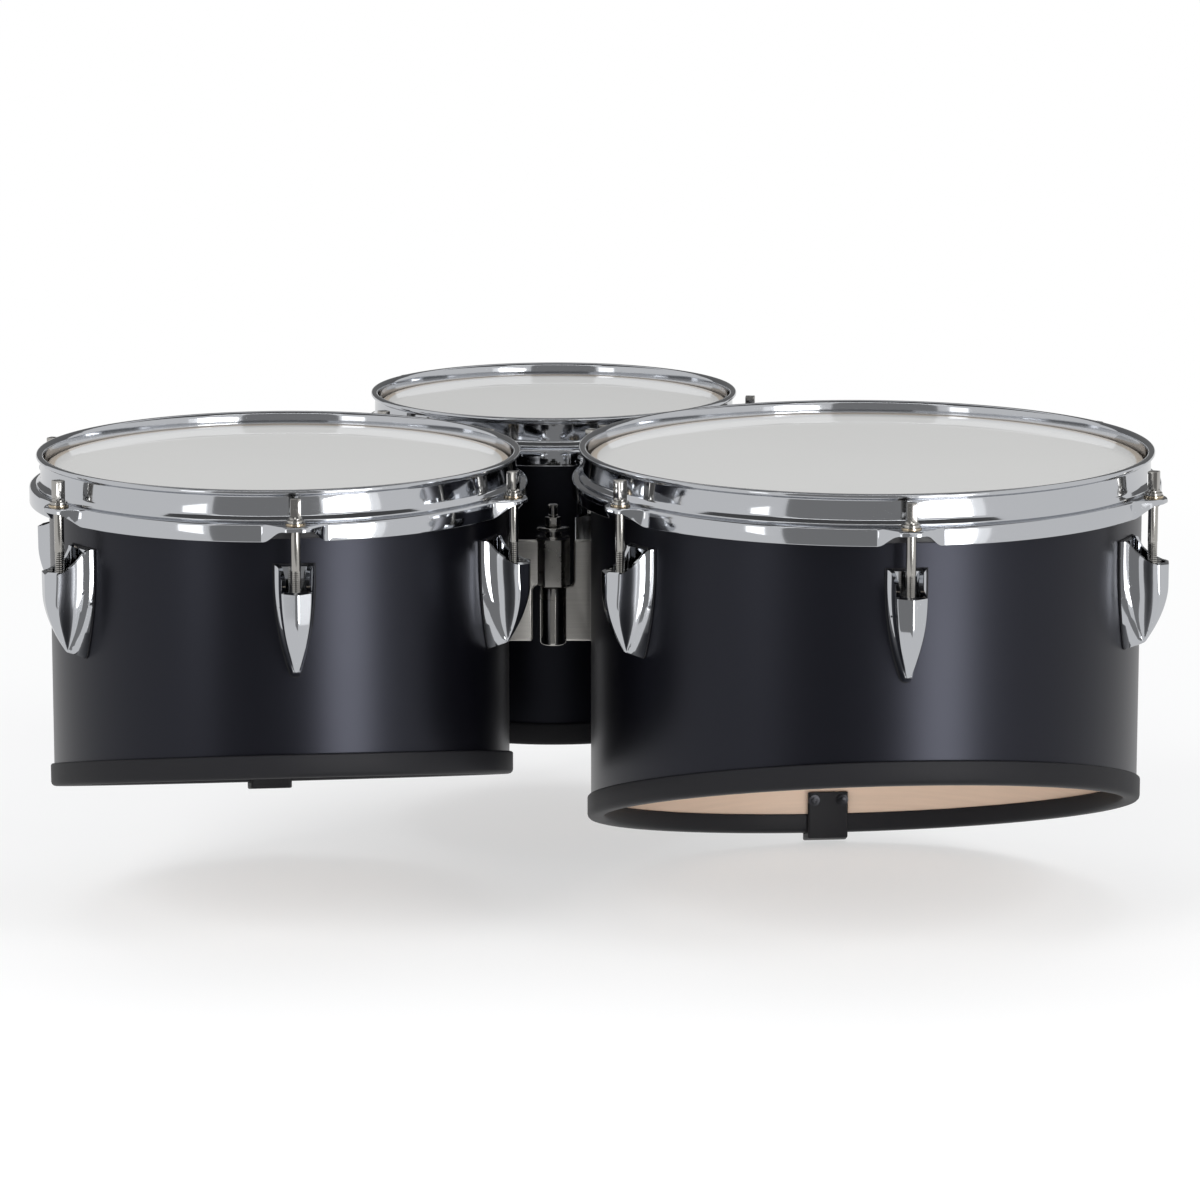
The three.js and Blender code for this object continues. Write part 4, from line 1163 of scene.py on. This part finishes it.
def build_pin(hinge):
    """Stud, nut and the two bevelled washers with their spacer"""
    spot = hinge_frame(hinge)
    low = -KNUCKLE_TOP + SKIN
    wall = stepped(STUD_RADIUS, STUD_RIB, -STUD_TOP, STUD_STEPS)
    stud = lathe([(0, low - STUD_SUNK), (STUD_RADIUS, low - STUD_SUNK), *wall, (0, -STUD_TOP)],
                 ROD_STEPS, closed=False)
    stud.transform(spot)
    bore = STUD_RADIUS + SKIN
    top = low + WASHER_THICKNESS
    lift = top + SPACER_HEIGHT
    high = lift + WASHER_THICKNESS
    rim = WASHER_RADIUS
    stack = lathe([(bore, low), (rim, low), (rim - WASHER_BEVEL, top), (SPACER_RADIUS, top),
                   (SPACER_RADIUS, lift), (rim, lift), (rim - WASHER_BEVEL, high), (bore, high)],
                  HINGE_STEPS, rounds=[((1, 2, 5, 6), WASHER_ROUND)])
    stack.transform(spot)
    nut = hexagon(NUT_RADIUS, NUT_HEIGHT, high + SEAT + NUT_HEIGHT / 2, spot)
    name = hinge["tag"]
    body = drum_by_tag(hinge["first"]).body
    pieces = ((stud, "pin", "stud"), (stack, "washer_stack", "washers"), (nut, "pin_nut", "nut"))
    for bm, look, node in pieces:
        finish_piece(bm, f"{name}_{look}", body, [steel()], [f"{name}_hinge_{node}"])


def build_receiver(drum, bays):
    """Pad and upright socket on the player's side for the carrier's hook bar"""
    inner = drum.radius + SKIN
    pad = drum.radius + SEAT + RECEIVER_PAD
    outer = SOCKET_WIDTH / 2 + SOCKET_WALL
    deep = SOCKET_DEPTH + SOCKET_WALL
    angle = bay(drum) * bays
    low = -RECEIVER_TOP - RECEIVER_HEIGHT
    bm = sector([(inner, low), (pad, low), (pad, -RECEIVER_TOP), (inner, -RECEIVER_TOP)],
                RECEIVER_STEPS, 0.0, RECEIVER_WIDTH / pad)
    soften(bm, RECEIVER_PAD_ROUND, SHARP_ARC_EDGE)
    half = SOCKET_WIDTH / 2
    sleeve = slab([(outer, 0), (outer, -deep), (-outer, -deep), (-outer, 0), (-half, 0),
                   (-half, -SOCKET_DEPTH), (half, -SOCKET_DEPTH), (half, 0)], RECEIVER_HEIGHT)
    soften(sleeve, SOCKET_ROUND, segments=3)
    add_body(bm, sleeve, Matrix.Translation((0, -pad + RECEIVER_OVERLAP, low)))
    bm.transform(place(drum, angle))
    for side in (-1, 1):
        for z in (-RECEIVER_TOP - RECEIVER_SCREW_INSET, low + RECEIVER_SCREW_INSET):
            spot = on_wall(drum, angle + side * RECEIVER_SCREWS / pad, pad, z, OUTWARD)
            add_body(bm, screw_body(*RECEIVER_SCREW), spot)
    finish_piece(bm, f"carrier_receiver_{drum.tag}", drum.body, [brushed(), blackened_and_recess_shade()],
                 [f"receiver_{drum.tag}"])


class TENOR_OT_shells(bpy.types.Operator):
    """Build the three shells"""

    bl_idname = "tenor.shells"
    bl_label = "Shells"

    def execute(self, context):
        for drum in context.scene.tenor_drums:
            build_shell(drum)
        return {"FINISHED"}


class TENOR_OT_heads(bpy.types.Operator):
    """Build the heads and their flesh hoops"""

    bl_idname = "tenor.heads"
    bl_label = "Heads"

    def execute(self, context):
        for drum in context.scene.tenor_drums:
            build_head(drum, context.scene.tenor_hardware.hoop_sheet)
        return {"FINISHED"}


class TENOR_OT_hoops(bpy.types.Operator):
    """Build the counter hoops"""

    bl_idname = "tenor.hoops"
    bl_label = "Counter hoops"

    def execute(self, context):
        for drum in context.scene.tenor_drums:
            build_hoop(drum, context.scene.tenor_hardware.hoop_sheet)
        return {"FINISHED"}


class TENOR_OT_rods(bpy.types.Operator):
    """Build the tension rods"""

    bl_idname = "tenor.rods"
    bl_label = "Tension rods"

    def execute(self, context):
        for drum in context.scene.tenor_drums:
            for number in range(1, drum.lug_count + 1):
                build_rod(drum, number, context.scene.tenor_hardware)
        return {"FINISHED"}


class TENOR_OT_lugs(bpy.types.Operator):
    """Build the lugs, their gaskets and the screws behind them"""

    bl_idname = "tenor.lugs"
    bl_label = "Lugs"

    def execute(self, context):
        for drum in context.scene.tenor_drums:
            for number in range(1, drum.lug_count + 1):
                build_lug(drum, number, context.scene.tenor_hardware)
            build_lug_screws(drum)
        return {"FINISHED"}


class TENOR_OT_trims(bpy.types.Operator):
    """Build the rubber trims and the feet"""

    bl_idname = "tenor.trims"
    bl_label = "Trims and feet"

    def execute(self, context):
        for drum in context.scene.tenor_drums:
            build_trim(drum)
            if drum.long_side > drum.short_side:
                build_foot(drum)
        return {"FINISHED"}


class TENOR_OT_hinges(bpy.types.Operator):
    """Build both hinges with their pins"""

    bl_idname = "tenor.hinges"
    bl_label = "Hinges"

    def execute(self, context):
        for hinge in HINGES:
            build_leaf(hinge, hinge["first"], upper=False)
            build_leaf(hinge, hinge["second"], upper=True)
            build_pin(hinge)
        return {"FINISHED"}


class TENOR_OT_receivers(bpy.types.Operator):
    """Build the receivers for the player's carrier"""

    bl_idname = "tenor.receivers"
    bl_label = "Carrier receivers"

    def execute(self, context):
        for tag, bays in RECEIVERS.items():
            build_receiver(drum_by_tag(tag), bays)
        return {"FINISHED"}


def add_floor(low):
    """Pale floor that whitens away from the object and keeps its shadow"""
    bm = bmesh.new()
    bmesh.ops.create_grid(bm, x_segments=1, y_segments=1, size=FLOOR_SIZE)
    bm.transform(Matrix.Translation((0, 0, low)))
    floor = add_object("studio_floor", bm)
    floor.visible_glossy = False
    finish = Finish("Studio floor", FLOOR_COLOUR, roughness=0.8, spread=0.02, smudge=1.0)
    finish.gloss(0.0)
    near = add_node(finish.tree, "ShaderNodeMapRange", {
        "Value": finish.radius(), "From Min": FLOOR_FADE_START, "From Max": FLOOR_FADE_END,
        "To Min": FLOOR_WHITE, "To Max": 1.0})
    share = math_node(finish.tree, "MULTIPLY", near.outputs["Result"], white_rays(finish.tree))
    white = finish.nodes.new("ShaderNodeEmission").outputs[0]
    mixed = mix_shaders(finish.tree, share, finish.shader.outputs[0], white)
    finish.links.new(mixed, finish.nodes["Material Output"].inputs["Surface"])
    floor.data.materials.append(finish.material)


def add_softbox(name, spot, aim, size, power):
    """A lamp for the even light"""
    light = bpy.data.lights.new(name, "AREA")
    light.shape = "RECTANGLE"
    light.size, light.size_y = size
    light.energy = power
    lamp = bpy.data.objects.new(name, light)
    lamp.location = spot
    lamp.rotation_euler = (Vector(aim) - Vector(spot)).to_track_quat("-Z", "Y").to_euler()
    lamp.visible_glossy = False
    bpy.context.scene.collection.objects.link(lamp)


def add_card(name, start, end, rise, strength):
    """A card that only the gloss and the metal reflect"""
    bm = bmesh.new()
    edge = bm.edges.new([bm.verts.new(start), bm.verts.new(end)])
    raise_by(bm, bmesh.ops.extrude_edge_only(bm, edges=[edge]), rise)
    card = add_object(name, bm)
    card.visible_camera = False
    card.visible_diffuse = False
    card.visible_shadow = False
    material = bpy.data.materials.new(name)
    material.use_nodes = True
    material.cycles.emission_sampling = "NONE"
    nodes = material.node_tree.nodes
    nodes.remove(nodes["Principled BSDF"])
    glow = add_node(material.node_tree, "ShaderNodeEmission", {"Strength": strength})
    material.node_tree.links.new(glow.outputs[0], nodes["Material Output"].inputs["Surface"])
    card.data.materials.append(material)


def white_rays(tree):
    """1 for the rays that see the white background: the camera's, mirrored and bent ones"""
    rays = tree.nodes.new("ShaderNodeLightPath").outputs
    seen = math_node(tree, "MAXIMUM", rays["Is Camera Ray"], rays["Is Glossy Ray"])
    return math_node(tree, "MAXIMUM", seen, rays["Is Transmission Ray"])


def background(tree, colour, strength):
    return add_node(tree, "ShaderNodeBackground", {"Color": colour, "Strength": strength}).outputs[0]


def white_world():
    """Even fill for the object, white for the camera and a little less where mirrors look"""
    world = bpy.data.worlds.new("Studio")
    bpy.context.scene.world = world
    world.use_nodes = True
    tree = world.node_tree
    tree.nodes.clear()
    rays = tree.nodes.new("ShaderNodeLightPath")
    brightness = add_node(tree, "ShaderNodeMapRange", {
        "Value": rays.outputs["Is Camera Ray"], "To Min": MIRRORED_WHITE})
    fill = background(tree, WORLD_COLOUR, WORLD_FILL)
    white = background(tree, WHITE, brightness.outputs["Result"])
    output = tree.nodes.new("ShaderNodeOutputWorld")
    tree.links.new(mix_shaders(tree, white_rays(tree), fill, white), output.inputs["Surface"])


def add_camera():
    data = bpy.data.cameras.new("camera")
    data.lens = CAMERA_LENS
    data.sensor_width = CAMERA_SENSOR
    data.clip_end = CAMERA_END
    camera = bpy.data.objects.new("camera", data)
    camera.location = CAMERA_SPOT
    camera.rotation_euler = (CAMERA_TILT, 0, CAMERA_HEADING)
    bpy.context.scene.collection.objects.link(camera)
    bpy.context.scene.camera = camera


class TENOR_OT_stage(bpy.types.Operator):
    """Set up the floor, the soft light and the camera"""

    bl_idname = "tenor.stage"
    bl_label = "Stage"

    def execute(self, context):
        add_floor(CAD_BOX[0][2])
        for softbox in SOFTBOXES:
            add_softbox(*softbox)
        for card in CARDS:
            add_card(*card)
        white_world()
        add_camera()
        context.scene.view_settings.view_transform = "Standard"
        return {"FINISHED"}


class TENOR_PT_panel(bpy.types.Panel):
    """Lists the pieces and the sizes that can be changed"""

    bl_label = "Tenor drums"
    bl_idname = "TENOR_PT_panel"
    bl_space_type = "VIEW_3D"
    bl_region_type = "UI"
    bl_category = "Tenors"

    def draw(self, context):
        layout = self.layout
        for group in (context.scene.tenor_hardware, context.scene.tenor_finish):
            for name in group.__annotations__:
                layout.prop(group, name)
        for drum in context.scene.tenor_drums:
            box = layout.box()
            for name in drum.__annotations__:
                box.prop(drum, name)
        for operator in OPERATORS:
            layout.operator(operator.bl_idname)


OPERATORS = (
    TENOR_OT_shells,
    TENOR_OT_heads,
    TENOR_OT_hoops,
    TENOR_OT_rods,
    TENOR_OT_lugs,
    TENOR_OT_trims,
    TENOR_OT_hinges,
    TENOR_OT_receivers,
    TENOR_OT_stage,
)
CLASSES = (TenorDrum, TenorHardware, TenorFinish, TENOR_PT_panel) + OPERATORS


def register():
    for item in CLASSES:
        bpy.utils.register_class(item)
    bpy.types.Scene.tenor_drums = CollectionProperty(type=TenorDrum)
    bpy.types.Scene.tenor_hardware = PointerProperty(type=TenorHardware)
    bpy.types.Scene.tenor_finish = PointerProperty(type=TenorFinish)


def unregister():
    del bpy.types.Scene.tenor_finish
    del bpy.types.Scene.tenor_hardware
    del bpy.types.Scene.tenor_drums
    for item in reversed(CLASSES):
        bpy.utils.unregister_class(item)


def main():
    register()
    for sizes in DRUMS:
        drum = bpy.context.scene.tenor_drums.add()
        for key, value in sizes.items():
            setattr(drum, key, value)
    bpy.ops.tenor.shells()
    bpy.ops.tenor.heads()
    bpy.ops.tenor.hoops()
    bpy.ops.tenor.rods()
    bpy.ops.tenor.lugs()
    bpy.ops.tenor.trims()
    bpy.ops.tenor.hinges()
    bpy.ops.tenor.receivers()
    bpy.ops.tenor.stage()


if __name__ == "__main__":
    main()
